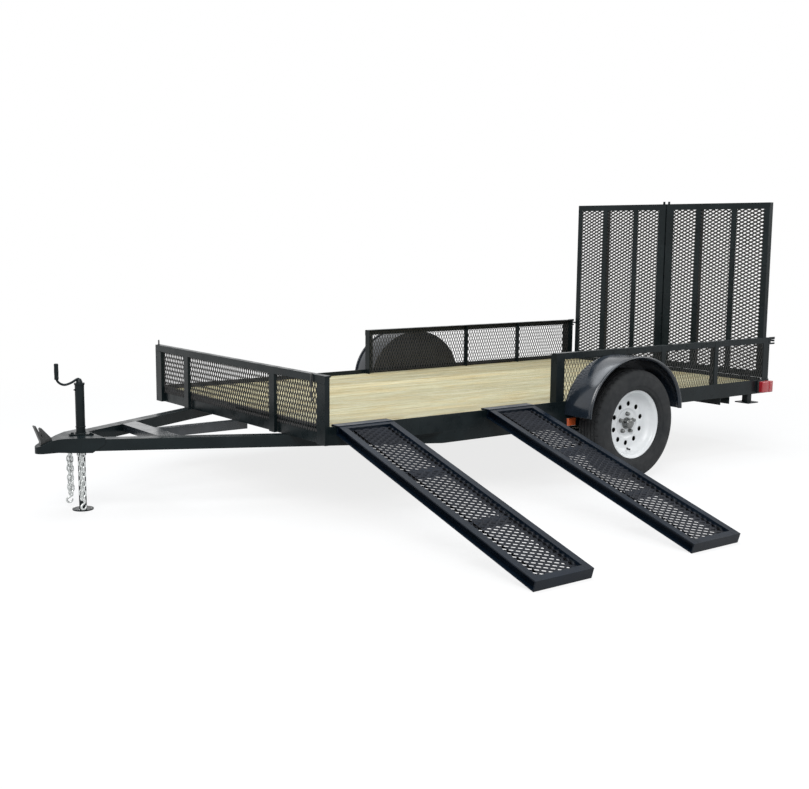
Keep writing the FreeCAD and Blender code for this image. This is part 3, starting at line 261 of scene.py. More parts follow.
class Shader:
    """A material's node tree with short calls for the nodes used here."""

    def __init__(self, name, color, rough, metal=0.0, coat=0.0, specular=0.5):
        self.material = bpy.data.materials.new(name)
        self.material.use_nodes = True
        self.tree = self.material.node_tree
        self.surface = self.tree.nodes["Principled BSDF"]
        self.surface.inputs["Base Color"].default_value = (*color, 1)
        self.surface.inputs["Roughness"].default_value = rough
        self.surface.inputs["Metallic"].default_value = metal
        self.surface.inputs["Specular IOR Level"].default_value = specular
        self.surface.inputs["Coat Weight"].default_value = coat
        self.place = self.node("ShaderNodeTexCoord").outputs["Object"]
        self.edge = self.node("ShaderNodeBevel", samples=4, Radius=0.0022).outputs["Normal"]
        self.link(self.edge, self.surface.inputs["Normal"])

    def node(self, kind, **settings):
        return add_node(self.tree, kind, **settings)

    def link(self, source, target):
        self.tree.links.new(source, target)

    def calc(self, operation, *values):
        """A Math node whose inputs are numbers or other nodes' outputs."""
        made = self.node("ShaderNodeMath", operation=operation)
        for socket, value in zip(made.inputs, values):
            if isinstance(value, float):
                socket.default_value = value
            else:
                self.link(value, socket)
        return made.outputs[0]

    def stretched(self, scale, vector):
        mapping = self.node("ShaderNodeMapping", Scale=scale)
        self.link(vector, mapping.inputs["Vector"])
        return mapping.outputs["Vector"]

    def noise(self, scale, detail=4.0, rough=0.5, vector=None, distortion=0.0):
        made = self.node("ShaderNodeTexNoise", Scale=scale, Detail=detail, Roughness=rough, Distortion=distortion)
        self.link(vector or self.place, made.inputs["Vector"])
        return made.outputs["Fac"]

    def ramp(self, value, stops):
        made = self.node("ShaderNodeValToRGB")
        while len(made.color_ramp.elements) < len(stops):
            made.color_ramp.elements.new(0.5)
        for element, (spot, color) in zip(made.color_ramp.elements, stops):
            element.position = spot
            element.color = (*color, 1)
        self.link(value, made.inputs["Fac"])
        return made.outputs["Color"]

    def spread(self, value, low, high):
        """Turns the middle of a noise's values into the range from low to high."""
        made = self.node("ShaderNodeMapRange", **{"From Min": 0.3, "From Max": 0.7, "To Min": low, "To Max": high})
        self.link(value, made.inputs["Value"])
        return made.outputs["Result"]

    def mix(self, share, first, second, blend="MIX"):
        made = self.node("ShaderNodeMix", data_type="RGBA", blend_type=blend)
        for socket, value in ((made.inputs[0], share), (made.inputs[6], first), (made.inputs[7], second)):
            if isinstance(value, (tuple, list)):
                socket.default_value = (*value, 1)
            elif isinstance(value, float):
                socket.default_value = value
            else:
                self.link(value, socket)
        return made.outputs[2]

    def color(self, value):
        self.link(value, self.surface.inputs["Base Color"])

    def rough(self, value):
        self.link(value, self.surface.inputs["Roughness"])

    def bump(self, height, strength, distance):
        made = self.node("ShaderNodeBump", Strength=strength, Distance=distance)
        self.link(height, made.inputs["Height"])
        self.link(self.edge, made.inputs["Normal"])
        self.link(made.outputs["Normal"], self.surface.inputs["Normal"])


def paint(name, color, rough, coat=0.0, specular=0.35, dust=1.6, peel=0.10):
    """Sprayed enamel: faint orange peel, uneven gloss, and dust that changes the colour in patches."""
    shader = Shader(name, color, rough, coat=coat, specular=specular)
    shader.surface.inputs["Coat Roughness"].default_value = 0.25
    dusty = tuple(c * dust + 0.003 for c in color)
    shader.color(shader.ramp(shader.noise(5.0, 6.0, 0.62), [(0.38, color), (0.72, dusty)]))
    shader.rough(shader.spread(shader.noise(14.0, 3.0), rough - 0.07, rough + 0.12))
    shader.bump(shader.noise(380.0, 2.0), peel, 0.0006)
    return shader.material


def wood(name, start, pitch):
    """Pine boards: grain along X, growth bands, warm patches, knots and a tone of its own for each board.

    The boards follow each other along Y at the pitch; start is added to Y to bring the first to zero."""
    shader = Shader(name, (0.62, 0.56, 0.36), 0.72, specular=0.25)
    split = shader.node("ShaderNodeSeparateXYZ")
    shader.link(shader.place, split.inputs[0])
    board = shader.calc("SNAP", shader.calc("ADD", split.outputs["Y"], start), pitch)
    tone = shader.node("ShaderNodeTexWhiteNoise", noise_dimensions="1D")
    shader.link(board, tone.inputs["W"])
    slide = shader.calc("MULTIPLY_ADD", tone.outputs["Value"], 7.0, split.outputs["X"])
    place = shader.node("ShaderNodeCombineXYZ")
    for axis, value in (("X", slide), ("Y", split.outputs["Y"]), ("Z", split.outputs["Z"])):
        shader.link(value, place.inputs[axis])
    along = shader.stretched((0.45, 17, 17), place.outputs[0])
    spots = shader.stretched((2.2, 9.0, 9.0), place.outputs[0])
    grain = shader.noise(4.2, 8.0, 0.62, along, distortion=1.1)
    fine = shader.noise(46.0, 5.0, 0.6, along)
    bands = shader.ramp(grain, [(0.28, (0.24, 0.19, 0.10)), (0.42, (0.48, 0.44, 0.27)), (0.56, (0.63, 0.60, 0.42)),
                                (0.74, (0.78, 0.76, 0.60))])
    fibre = shader.ramp(fine, [(0.34, (0.60, 0.57, 0.50)), (0.58, (1.0, 1.0, 1.0))])
    shade = shader.ramp(tone.outputs["Value"], [(0.0, (0.72, 0.72, 0.72)), (0.5, (0.97, 0.97, 0.95)),
                                                (1.0, (1.16, 1.13, 1.08))])
    knot = shader.node("ShaderNodeTexVoronoi", Scale=1.0, Randomness=1.0)
    shader.link(spots, knot.inputs["Vector"])
    ring = shader.ramp(knot.outputs["Distance"], [(0.03, (0.34, 0.22, 0.11)), (0.075, (0.72, 0.62, 0.46)),
                                                  (0.13, (1.0, 1.0, 1.0))])
    warm = shader.ramp(shader.noise(1.6, 3.0, 0.5, spots), [(0.42, (1.0, 1.0, 1.0)), (0.66, (1.0, 0.91, 0.80))])
    colour = bands
    for layer in (fibre, warm, shade):
        colour = shader.mix(1.0, colour, layer, "MULTIPLY")
    shader.color(shader.mix(0.8, colour, ring, "MULTIPLY"))
    shader.rough(shader.spread(fine, 0.6, 0.85))
    shader.bump(shader.mix(0.5, bands, fibre), 0.3, 0.0012)
    return shader.material


def rubber(name):
    """Tyre rubber: dusty patches over dark grey and a fine skin."""
    shader = Shader(name, (0.026, 0.027, 0.029), 0.72, specular=0.2)
    worn = shader.ramp(shader.noise(7.0, 6.0, 0.65), [(0.3, (0.022, 0.024, 0.026)), (0.78, (0.040, 0.041, 0.042))])
    shader.color(worn)
    shader.rough(shader.spread(shader.noise(30.0, 3.0), 0.62, 0.86))
    shader.bump(shader.noise(260.0, 3.0), 0.2, 0.0008)
    return shader.material


def zinc(name, tone, metal=0.85, rough=0.4, flake=160.0):
    """Galvanised steel: pale spangle with dull patches."""
    shader = Shader(name, (tone, tone, tone), rough, metal=metal)
    flakes = shader.node("ShaderNodeTexVoronoi", Scale=flake)
    shader.link(shader.place, flakes.inputs["Vector"])
    split = shader.node("ShaderNodeSeparateColor")
    shader.link(flakes.outputs["Color"], split.inputs[0])
    low, high = (tone * 0.82, tone * 0.85, tone * 0.84), (tone * 1.12, tone * 1.16, tone * 1.15)
    shader.color(shader.ramp(split.outputs[0], [(0.2, low), (0.8, high)]))
    shader.rough(shader.spread(shader.noise(40.0, 4.0), rough - 0.1, rough + 0.14))
    shader.bump(shader.noise(300.0, 3.0), 0.12, 0.0005)
    return shader.material


def lens(name, color):
    """Moulded lamp lens: clear-coated colour with fine ribs inside."""
    shader = Shader(name, color, 0.18, coat=0.5)
    cells = shader.node("ShaderNodeTexWave", Scale=34.0, wave_profile="TRI", bands_direction="Z")
    shader.link(shader.place, cells.inputs["Vector"])
    shader.color(shader.ramp(cells.outputs["Fac"], [(0.0, tuple(c * 0.72 for c in color)), (1.0, color)]))
    shader.rough(shader.spread(shader.noise(60.0, 3.0), 0.14, 0.28))
    shader.bump(cells.outputs["Fac"], 0.3, 0.001)
    return shader.material


BLACK = paint("black_enamel", (0.0052, 0.0092, 0.0105), 0.27, specular=0.16)
GLOSSY = paint("wet_enamel", (0.014, 0.018, 0.022), 0.2, coat=0.45, specular=0.5, peel=0.02)
# Lighter and bluer than the black enamel: the fenders' own paint with a painted blue-grey sky reflection in its colour
FENDER = paint("fender_enamel_and_painted_reflection", (0.009, 0.014, 0.021), 0.15, coat=0.25, specular=0.5, peel=0.05)
# Bluer than the black enamel: the ramps' own paint with a painted blue sky reflection in its colour
RAMP = paint("ramp_enamel_and_painted_reflection", (0.0022, 0.0062, 0.0128), 0.3, specular=0.13)
# Dark grey only where shade falls: painted shade behind the wheel discs and inside the rims' barrels
PAINTED_SHADE = paint("painted_shade_grey", (0.030, 0.029, 0.028), 0.8, specular=0.1)
MESH = paint("mesh_enamel", (0.030, 0.029, 0.029), 0.45, specular=0.3)
# Darker and bluer than the panels' mesh: the ramps' mesh enamel with painted shade, as the ramps lie partly in the
# trailer's shadow
RAMP_MESH = paint("ramp_mesh_enamel_and_painted_shade", (0.009, 0.011, 0.016), 0.5, specular=0.18)
WHITE = paint("white_enamel", (0.84, 0.86, 0.87), 0.3, coat=0.2, specular=0.5, dust=0.94)
deck_low, deck_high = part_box("deck_boards")
BOARD_GAP = 0.003
WOOD = wood("pine", BOARD_GAP / 2 - deck_low.y,
            (deck_high.y - deck_low.y + BOARD_GAP) / len(parts_of("deck_boards")))
RUBBER = rubber("tyre_rubber")
ZINC = zinc("zinc_plate", 0.42)
CHAIN = zinc("chain_zinc", 0.62)
CHROME = zinc("chrome", 0.17, metal=0.9, rough=0.22, flake=60.0)
STEEL = zinc("dark_steel", 0.055, metal=0.6, rough=0.42)
AMBER = lens("amber_lens", (0.66, 0.12, 0.03))
RED = lens("red_lens", (0.46, 0.02, 0.03))
PLASTIC = paint("lamp_plastic", (0.015, 0.015, 0.016), 0.5)
FINISH = {"frame_black": BLACK, "mesh_black": MESH, "deck_wood": WOOD, "tyre_rubber": RUBBER, "rim_white": WHITE,
          "zinc": ZINC, "chain_zinc": CHAIN, "amber_lens": AMBER, "red_lens": RED, "lamp_black": PLASTIC}

for entry in frame["record"]["subparts"]:
    solid = nodes[entry["node"]]
    solid.data.materials.clear()
    solid.data.materials.append(FINISH[entry["material_slot"]])


# Expanded metal in every panel: the diamonds' pitches, the strands' width and their lean out of the sheet

PANEL_CELL = {"long": 0.052, "short": 0.0235, "strand": 0.0053}
GATE_CELL = {"long": 0.056, "short": 0.0250, "strand": 0.0118, "lean": 0.5}
RAMP_CELL = {"long": 0.056, "short": 0.0335, "strand": 0.0117, "lean": -0.5}


def ramp_plane(tag):
    """A ramp mesh's head at X 0, its slope down to the foot, its normal, and the X of its two edges."""
    points = parts_of("ramp_mesh_" + tag)[0]
    head = min(points, key=lambda p: p.y)
    foot = min(points, key=lambda p: p.z)
    slope = Vector((0, foot.y - head.y, foot.z - head.z))
    normal = Vector((0, -slope.z, slope.y)).normalized()
    return Vector((0, head.y, head.z)), slope, normal, min(p.x for p in points), max(p.x for p in points)


def mesh_panels():
    """Strands upright in the panels and level in the gates and ramps; thin is the axis across the sheet."""
    thin_way = {"front_panel_mesh": ("chassis", 0), "side_panel_mesh_left": ("chassis", 1),
                "side_panel_mesh_right": ("chassis", 1), "gate_mesh_left": ("gate_left", 0),
                "gate_mesh_right": ("gate_right", 0)}
    for node, (body, thin) in thin_way.items():
        bm = bmesh.new()
        for part in parts_of(node):
            low, high = span(part)
            width = high - low
            corner = low.copy()
            corner[thin] = (low[thin] + high[thin]) / 2
            level = (1, 0, 0) if thin == 1 else (0, 1, 0)
            if body == "chassis":
                lean = -0.05 if node.endswith("right") else 0.5
                expanded(bm, corner, UP, level, width.z, width[1 - thin], lean=lean, **PANEL_CELL)
            else:
                expanded(bm, corner, level, UP, width[1 - thin], width.z, **GATE_CELL)
        piece(node + "_strands", bm, "mesh_black", body, [node])
    for tag in ("front", "rear"):
        head, slope, normal, left, right = ramp_plane(tag)
        bm = bmesh.new()
        expanded(bm, head + Vector((left, 0, 0)) + normal * 0.00125, (1, 0, 0), slope, right - left, slope.length,
                 **RAMP_CELL)
        node = "ramp_mesh_" + tag
        piece(node + "_strands", bm, "mesh_black", "ramp_" + tag, [node], RAMP_MESH)


# Deck boards with eased edges, and screws over the crossmembers

SCREW = [(0, 0.0052), (0.0011, 0.0050), (0.0013, 0.0042), (0.0013, 0.0022), (0.0003, 0.0016), (0.0003, 0)]


def deck(wider=0.0008):
    """Each board a little wider to both sides than in the CAD, with two screws over each crossmember."""
    bm = bmesh.new()
    screws = bmesh.new()
    rows = sorted({round(max(p.x for p in part), 3) for part in parts_of("crossmembers")})
    spread = Vector((0, wider, 0))
    for part in parts_of("deck_boards"):
        low, high = span(part)
        slab(bm, low - spread, high + spread, 0.0022)
        for row in rows:
            for share in (0.22, 0.78):
                spot = (row - 0.019 + random.uniform(-0.004, 0.004),
                        low.y + (high.y - low.y) * share + random.uniform(-0.003, 0.003), high.z - 0.0012)
                turn(screws, spot, UP, SCREW, 12)
    piece("deck_planks", bm, "deck_wood", replaces=["deck_boards"])
    piece("deck_screws", screws, "zinc")


# Wheels: profiles of (distance outward along the axle, radius) from the middle of the wheel

TYRE = [(0.060, 0.2078), (0.068, 0.2082), (0.0745, 0.2105), (0.0795, 0.2155), (0.0822, 0.2175), (0.0838, 0.2172),
        (0.0862, 0.2230), (0.0895, 0.2330), (0.0905, 0.2362), (0.0922, 0.2368), (0.0930, 0.2400), (0.0944, 0.2520),
        (0.0949, 0.2640), (0.0948, 0.2760), (0.0938, 0.2870), (0.0928, 0.2925), (0.0932, 0.2945), (0.0922, 0.2965),
        (0.0900, 0.3030), (0.0865, 0.3110), (0.0835, 0.3165), (0.0800, 0.3215), (0.0755, 0.3262), (0.0700, 0.3290),
        (0.0640, 0.3308), (0.0560, 0.3320), (0.0545, 0.3250), (0.0480, 0.3250), (0.0465, 0.3330), (0.0380, 0.3339),
        (0.0290, 0.3344), (0.0275, 0.3270), (0.0205, 0.3270), (0.0190, 0.3347), (0.0100, 0.3350), (0.0040, 0.3350),
        (0.0032, 0.3300), (0.0, 0.3300)]
BOWL = [(0.0095, 0.1430), (0.0100, 0.1500), (0.0115, 0.1570), (0.0150, 0.1640), (0.0205, 0.1710), (0.0280, 0.1770),
        (0.0370, 0.1815), (0.0460, 0.1845), (0.0540, 0.1875), (0.0600, 0.1915), (0.0632, 0.1965), (0.0655, 0.2000),
        (0.0680, 0.2018), (0.0702, 0.2030), (0.0712, 0.2048), (0.0706, 0.2066), (0.0688, 0.2074), (0.0660, 0.2072),
        (0.0640, 0.2050), (0.0630, 0.2000), (0.0600, 0.1955), (0.0500, 0.1915), (0.0200, 0.1900)]
REAR = [(-0.0200, 0.1900), (-0.0500, 0.1915), (-0.0600, 0.1955), (-0.0640, 0.2050), (-0.0688, 0.2074),
        (-0.0706, 0.2060), (-0.0700, 0.2035), (-0.0655, 0.2000), (-0.0600, 0.1915), (-0.0400, 0.1872),
        (0.0060, 0.1866), (0.0160, 0.1760), (0.0108, 0.1668), (0.0075, 0.1585), (0.0060, 0.1500), (0.0055, 0.1430)]
CENTRE = [(0.0095, 0.0970), (0.0092, 0.0930), (0.0075, 0.0895), (0.0045, 0.0865), (0.0026, 0.0830), (0.0020, 0.0780),
          (0.0020, 0.0350), (-0.0020, 0.0350), (-0.0020, 0.0790), (0.0008, 0.0865), (0.0040, 0.0920), (0.0055, 0.0970)]
LUG_SEAT = [(0, 0), (0, 0.0135), (0.003, 0.0128), (0.0032, 0.0112)]
LUG_HEX = [(0.003, 0.0118), (0.0150, 0.0118), (0.0165, 0.0106)]
LUG_TOP = [(0.0160, 0.0104), (0.0190, 0.0092), (0.0205, 0.0060), (0.0208, 0)]
CAP = [(-0.0060, 0), (-0.0060, 0.0315), (0.0030, 0.0320), (0.0035, 0.0345), (0.0060, 0.0348), (0.0072, 0.0325),
       (0.0300, 0.0312), (0.0350, 0.0300), (0.0395, 0.0262), (0.0420, 0.0210), (0.0432, 0.0140),
       (0.0436, 0.0138), (0.0452, 0.0120), (0.0456, 0.0060), (0.0458, 0)]
VALVE = [(0, 0), (0, 0.0080), (0.004, 0.0074), (0.007, 0.0046), (0.016, 0.0040), (0.016, 0.0052), (0.024, 0.0050),
         (0.025, 0)]
VENTS, ARC, ACROSS = 10, 24, 6
VENT_TURN = math.radians(21)
VENT_BAND = (0.0970, 0.1430)
# Share of the way from a vent's edge to the border of its sector, depth, and growth of the vent's radius
VENT_LEVELS = [(1.0, 0.0095, 0), (0.62, 0.0095, 0), (0.3, 0.0095, 0), (0.0, 0.0095, 0.0022), (0.0, 0.0089, 0.0008),
               (0.0, 0.0078, 0.0), (0.0, 0.0055, 0.0), (0.3, 0.0055, 0), (0.62, 0.0055, 0), (1.0, 0.0055, 0)]


def vent_band(bm, hub, side, radius=0.0150, circle=0.120, roll=0.0022):
    """The ring of the disc with ten round holes whose edges are rolled."""
    inner, outer = VENT_BAND
    half = math.pi / VENTS
    for vent in range(VENTS):
        middle = 2 * math.pi * vent / VENTS + VENT_TURN
        border = [(inner, middle - half + 2 * half * k / ARC) for k in range(ARC)]
        border += [(inner + (outer - inner) * k / ACROSS, middle + half) for k in range(ACROSS)]
        border += [(outer, middle + half - 2 * half * k / ARC) for k in range(ARC)]
        border += [(outer - (outer - inner) * k / ACROSS, middle - half) for k in range(ACROSS)]
        cx, cz = circle * math.cos(middle), circle * math.sin(middle)
        rings = []
        for share, depth, grow in VENT_LEVELS:
            edge = radius + grow + (roll if share else 0.0)
            ring = []
            for r, bend in border:
                x, z = r * math.cos(bend) - cx, r * math.sin(bend) - cz
                away = math.hypot(x, z)
                reach = edge + (away - edge) * share
                ring.append(bm.verts.new(Vector((hub.x + cx + x / away * reach, hub.y + side * depth,
                                                 hub.z + cz + z / away * reach))))
            rings.append(ring)
        skin(bm, rings)


def tyre(hub, side, tag, steps=288):
    """The tyre with a notch in each shoulder every sixth step and a cut in each rib every eighth."""
    profile = TYRE + [(-d, r) for d, r in reversed(TYRE[:-1])]
    shoulder = {index for index, (d, r) in enumerate(profile) if 0.3270 < r < 0.3325 and abs(d) > 0.0545}
    sipes = {index for index, (d, r) in enumerate(profile) if r > 0.3325 and abs(d) > 0.012}

    def tread(step, index, radius):
        if index in shoulder and step % 6 == 0:
            return radius - 0.0055
        if index in sipes and step % 8 == 3:
            return radius - 0.0040
        return radius

    bm = bmesh.new()
    turn(bm, hub, (0, side, 0), profile, steps, loop=True, shape=tread)
    piece("tyre_" + tag + "_tread", bm, "tyre_rubber", "wheel_" + tag, ["tyre_" + tag], sharp=30)


def rim(hub, side, tag):
    """The pressed rim; the faces behind the disc and inside its barrel get the dark second material, painted shade
    that darkens the vents.
    """
    bm = bmesh.new()
    steps = VENTS * ARC
    phase = side * steps * (VENT_TURN - math.pi / VENTS) / (2 * math.pi)
    turn(bm, hub, (0, side, 0), BOWL + REAR, steps, phase=phase)
    turn(bm, hub, (0, side, 0), CENTRE, steps, phase=phase)
    vent_band(bm, hub, side)
    bmesh.ops.remove_doubles(bm, verts=bm.verts, dist=1e-6)
    bmesh.ops.recalc_face_normals(bm, faces=bm.faces)
    # Faces behind the disc and facing inward in the barrel take the painted shade
    for face in bm.faces:
        spot, way = face.calc_center_median() - hub, face.normal
        out = math.hypot(spot.x, spot.z)
        deep = spot.y * side
        back = way.y * side < -0.3
        inward = way.x * spot.x + way.z * spot.z < -0.5 * out and deep < 0.006
        if out < 0.2000 and deep < 0.018 and (back or inward):
            face.material_index = 1
    piece("rim_" + tag + "_pressed", bm, "rim_white", "wheel_" + tag, ["rim_" + tag]).data.materials.append(PAINTED_SHADE)


def wheels():
    for side, tag in SIDES:
        low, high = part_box("rim_" + tag)
        hub = (low + high) / 2
        body = "wheel_" + tag
        axis = (0, side, 0)
        tyre(hub, side, tag)
        rim(hub, side, tag)
        bm = bmesh.new()
        turn(bm, hub + Vector((-0.006, side * 0.0105, -0.158)), axis, VALVE, 16)
        piece("valve_" + tag, bm, "tyre_rubber", body)
        bm = bmesh.new()
        back = abs(inner_outer(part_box("hub_" + tag), side)[0]) - abs(hub.y)
        cast = [(back, 0.0205), (back, 0.0370), (back + 0.004, 0.0385), (-0.0290, 0.0400), (-0.0250, 0.0600),
                (-0.0220, 0.0750), (-0.0080, 0.0760), (-0.0066, 0.0740), (-0.0066, 0.0205)]
        turn(bm, hub, axis, cast, 72, loop=True)
        piece("hub_" + tag + "_cast", bm, "frame_black", body, ["hub_" + tag])
        bm = bmesh.new()
        turn(bm, hub, axis, CAP, 64)
        for part in parts_of("lug_nuts_" + tag):
            near, far = span(part)
            seat = (near + far) / 2
            seat.y = hub.y + side * 0.0020
            for profile, sides in ((LUG_SEAT, 24), (LUG_HEX, 6), (LUG_TOP, 24)):
                turn(bm, seat, axis, profile, sides)
        piece("wheel_" + tag + "_chrome", bm, "zinc", body, ["lug_nuts_" + tag], CHROME, sharp=32)


# Fenders: a crowned band with a pressed step and a rolled lip, closed beside the bed

def fender_section(wide):
    """The band's outline: (distance from the bed's side, height over the band's middle line)."""
    section = [(0.0, -0.0005), (0.004, 0.0), (0.055, 0.0024), (0.110, 0.0032), (0.160, 0.0024), (wide - 0.040, 0.0),
               (wide - 0.030, -0.0012), (wide - 0.024, -0.0045), (wide - 0.021, -0.0082), (wide - 0.017, -0.0098),
               (wide - 0.0150, -0.0080)]
    bends = [math.radians(250 * k / 11 - 80) for k in range(12)]
    section += [(wide - 0.0064 - 0.0062 * math.cos(bend), -0.0015 + 0.0074 * math.sin(bend)) for bend in bends]
    return section + [(wide - 0.0130, -0.0128), (wide - 0.0200, -0.0128), (wide - 0.0260, -0.0108),
                      (wide - 0.0320, -0.0044), (0.110, 0.0002), (0.004, -0.0030), (0.0, -0.0032)]


def fenders(inset=0.007, sheet=0.003, steps=96, arch_steps=64):
    """The band's middle line lies an inset inside the CAD fender's box."""
    for side, tag in SIDES:
        low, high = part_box("fender_" + tag)
        inner, outer = inner_outer((low, high), side)
        middle, base = (low.x + high.x) / 2, low.z
        reach, rise = (high.x - low.x) / 2 - inset, high.z - low.z - inset
        section = fender_section(abs(outer - inner))
        bm = bmesh.new()
        rings = []
        for step in range(steps + 1):
            bend = math.pi * step / steps
            out = Vector((math.cos(bend) * rise, 0, math.sin(bend) * reach)).normalized()
            point = Vector((middle + reach * math.cos(bend), 0, base + rise * math.sin(bend)))
            rings.append([bm.verts.new(Vector((0, inner + side * across, 0)) + point + out * lift)
                          for across, lift in section])
        skin(bm, rings)
        bm.faces.new(rings[0])
        bm.faces.new(rings[-1])
        bends = [math.pi * k / arch_steps for k in range(arch_steps + 1)]
        arch = [Vector((middle + (reach - 0.002) * math.cos(bend), inner, base + (rise - 0.002) * math.sin(bend)))
                for bend in bends]
        prism(bm, arch, (0, side * sheet, 0))
        for spot in (-0.24, 0.0, 0.24):
            bolt(bm, (middle + spot, inner + side * sheet, base + 0.035), (0, side, 0), 0.007)
        for end in (-1, 1):
            x = middle + end * (reach - 0.006)
            weld(bm, (x, inner + side * 0.004, base + 0.006), (x, inner + side * 0.060, base + 0.004))
        piece("fender_" + tag + "_pressed", bm, "frame_black", "chassis", ["fender_" + tag], FENDER, 50)


# Chains of round wire with hooks

HOOK = [(0.002, 0.007), (-0.006, 0.004), (-0.007, -0.006), (0.001, -0.014), (0.012, -0.020), (0.017, -0.030),
        (0.011, -0.041), (-0.002, -0.043), (-0.011, -0.036), (-0.014, -0.025)]


def link(bm, middle, long, wide, length, width, wire):
    """A closed oval of round wire; long and wide are the directions it lies in."""
    straight, bend = (length - width) / 2, (width - wire) / 2
    path = []
    for centre, start in ((straight, 0.0), (-straight, math.pi)):
        for k in range(9):
            angle = start + math.pi * k / 8
            path.append(middle + long * (centre + bend * math.sin(angle)) + wide * (bend * math.cos(angle)))
    tube(bm, path, wire / 2, 8, closed=True)


def chains():
    """A round link at each CAD link, turned a little at random; the outer strands end in hooks."""
    bm = bmesh.new()
    strands = {}
    for part in parts_of("safety_chains"):
        low, high = span(part)
        size = high - low
        middle = (low + high) / 2
        turned = random.uniform(-0.25, 0.25)
        if size.x < size.y:
            wide = Vector((-math.sin(turned), math.cos(turned), 0))
        else:
            wide = Vector((math.cos(turned), math.sin(turned), 0))
        link(bm, middle, Vector(UP), wide, size.z + 0.001, max(size.x, size.y) + 0.003,
             min(size.x, size.y) + 0.0014)
        strand = round(middle.y / 0.015)
        if strand not in strands or strands[strand].z > middle.z:
            strands[strand] = middle
    lowest = [strands[strand] for strand in sorted(strands)]
    for last, turned in ((lowest[0], -0.25), (lowest[3], 0.25)):
        end = last - Vector((0, 0, 0.014))
        ahead = Vector((1, turned, 0)).normalized()
        path = smooth_path([end + ahead * x + Vector((0, 0, z)) for x, z in HOOK], 4)
        sizes = [0.0036 + 0.0022 * math.sin(math.pi * min(1.0, k / (len(path) - 1) * 1.05))
                 for k in range(len(path))]
        tube(bm, path, sizes, 10)
    piece("chain_links", bm, "chain_zinc", replaces=["safety_chains"])


# Jack: the crank with its grip, bolts and collars on the body, rivets on the foot

FOOT_RADIUS = 0.055
CRANK_REACH = 0.120
COLLAR = [(0, 0.0238), (0.0015, 0.0262), (0.0065, 0.0262), (0.008, 0.0238)]
CRANK_BOSS = [(-0.002, 0.0), (-0.002, 0.017), (0.010, 0.016), (0.014, 0.0125), (0.020, 0.0115), (0.022, 0.0095),
              (0.022, 0)]
GREASE_FITTING = [(0, 0.005), (0.004, 0.005), (0.005, 0.003), (0.008, 0.0032), (0.010, 0.002), (0.010, 0)]
RIVET = [(0, 0.0052), (0.0012, 0.0046), (0.0012, 0.0030), (0.0002, 0.0028), (0.0002, 0)]


def jack():
    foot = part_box("jack_leg")[0]
    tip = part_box("jack_crank")[1].z
    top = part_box("jack_body")[1].z
    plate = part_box("coupler")[1].z + 0.0063
    x = foot.x + FOOT_RADIUS
    bm = bmesh.new()
    corners = [(0, top - 0.004), (0, top + 0.018), (0.012, top + 0.020), (0.042, top + 0.004), (0.075, top - 0.005),
               (0.100, top + 0.002), (0.116, top + 0.018), (CRANK_REACH, top + 0.040), (CRANK_REACH, tip - 0.004)]
    tube(bm, smooth_path([(x + out, 0, z) for out, z in corners], 6), 0.0062, 14)
    grip = tip - (top + 0.024)
    turn(bm, (x + CRANK_REACH, 0, top + 0.024), UP,
         [(0, 0.0065), (0, 0.0098), (0.004, 0.0112), (grip * 0.25, 0.0108), (grip * 0.5, 0.0116), (grip * 0.8, 0.0108),
          (grip - 0.006, 0.0116), (grip - 0.001, 0.0098), (grip, 0.0070), (grip, 0)], 24)
    turn(bm, (x, 0, top), UP, CRANK_BOSS, 28)
    bolt(bm, (x, -0.010, top + 0.010), (0, -1, 0), 0.004, False)
    piece("jack_crank_rod", bm, "frame_black", replaces=["jack_crank"])
    bm = bmesh.new()
    for out, y in ((0.046, 0.0), (-0.036, 0.050), (-0.036, -0.050)):
        bolt(bm, (x + out, y, plate), UP, 0.008)
    bends = [2 * math.pi * k / 96 for k in range(96)]
    seam = [Vector((x + 0.0255 * math.cos(bend), 0.0255 * math.sin(bend), plate + 0.001)) for bend in bends]
    tube(bm, seam, [0.0026 + 0.0007 * (k % 2) for k in range(96)], 6, closed=True)
    for z in (plate + 0.030, top - 0.010):
        turn(bm, (x, 0, z), UP, COLLAR, 40)
    turn(bm, (x + 0.022, 0, top - 0.035), (1, 0, 0), GREASE_FITTING, 12)
    piece("jack_fittings", bm, "frame_black")
    bm = bmesh.new()
    for angle in range(45, 360, 90):
        bend = math.radians(angle)
        turn(bm, (x + 0.046 * math.cos(bend), 0.046 * math.sin(bend), foot.z + 0.0078), UP, RIVET, 14)
    piece("jack_foot_rivets", bm, "zinc", "jack_leg")


# Lamps: ribbed lenses on black bases

def lens_cover(node, slot, side):
    """A rounded lens inside the CAD lamp's box, with level ribs on its outer face."""
    low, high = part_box(node)
    inner, outer = inner_outer((low, high), side)
    bm = bmesh.new()
    ends = sorted((inner + side * 0.004, outer - side * 0.0012))
    slab(bm, (low.x + 0.002, ends[0], low.z + 0.002), (high.x - 0.002, ends[1], high.z - 0.002), 0.005, 3)
    ribs = int((high.z - low.z - 0.012) / 0.007)
    y = outer - side * 0.0016
    for k in range(ribs):
        z = low.z + 0.008 + (high.z - low.z - 0.016) * k / max(1, ribs - 1)
        tube(bm, [(low.x + 0.008, y, z), (high.x - 0.008, y, z)], 0.0015, 8)
    piece(node + "_moulded", bm, slot, replaces=[node])


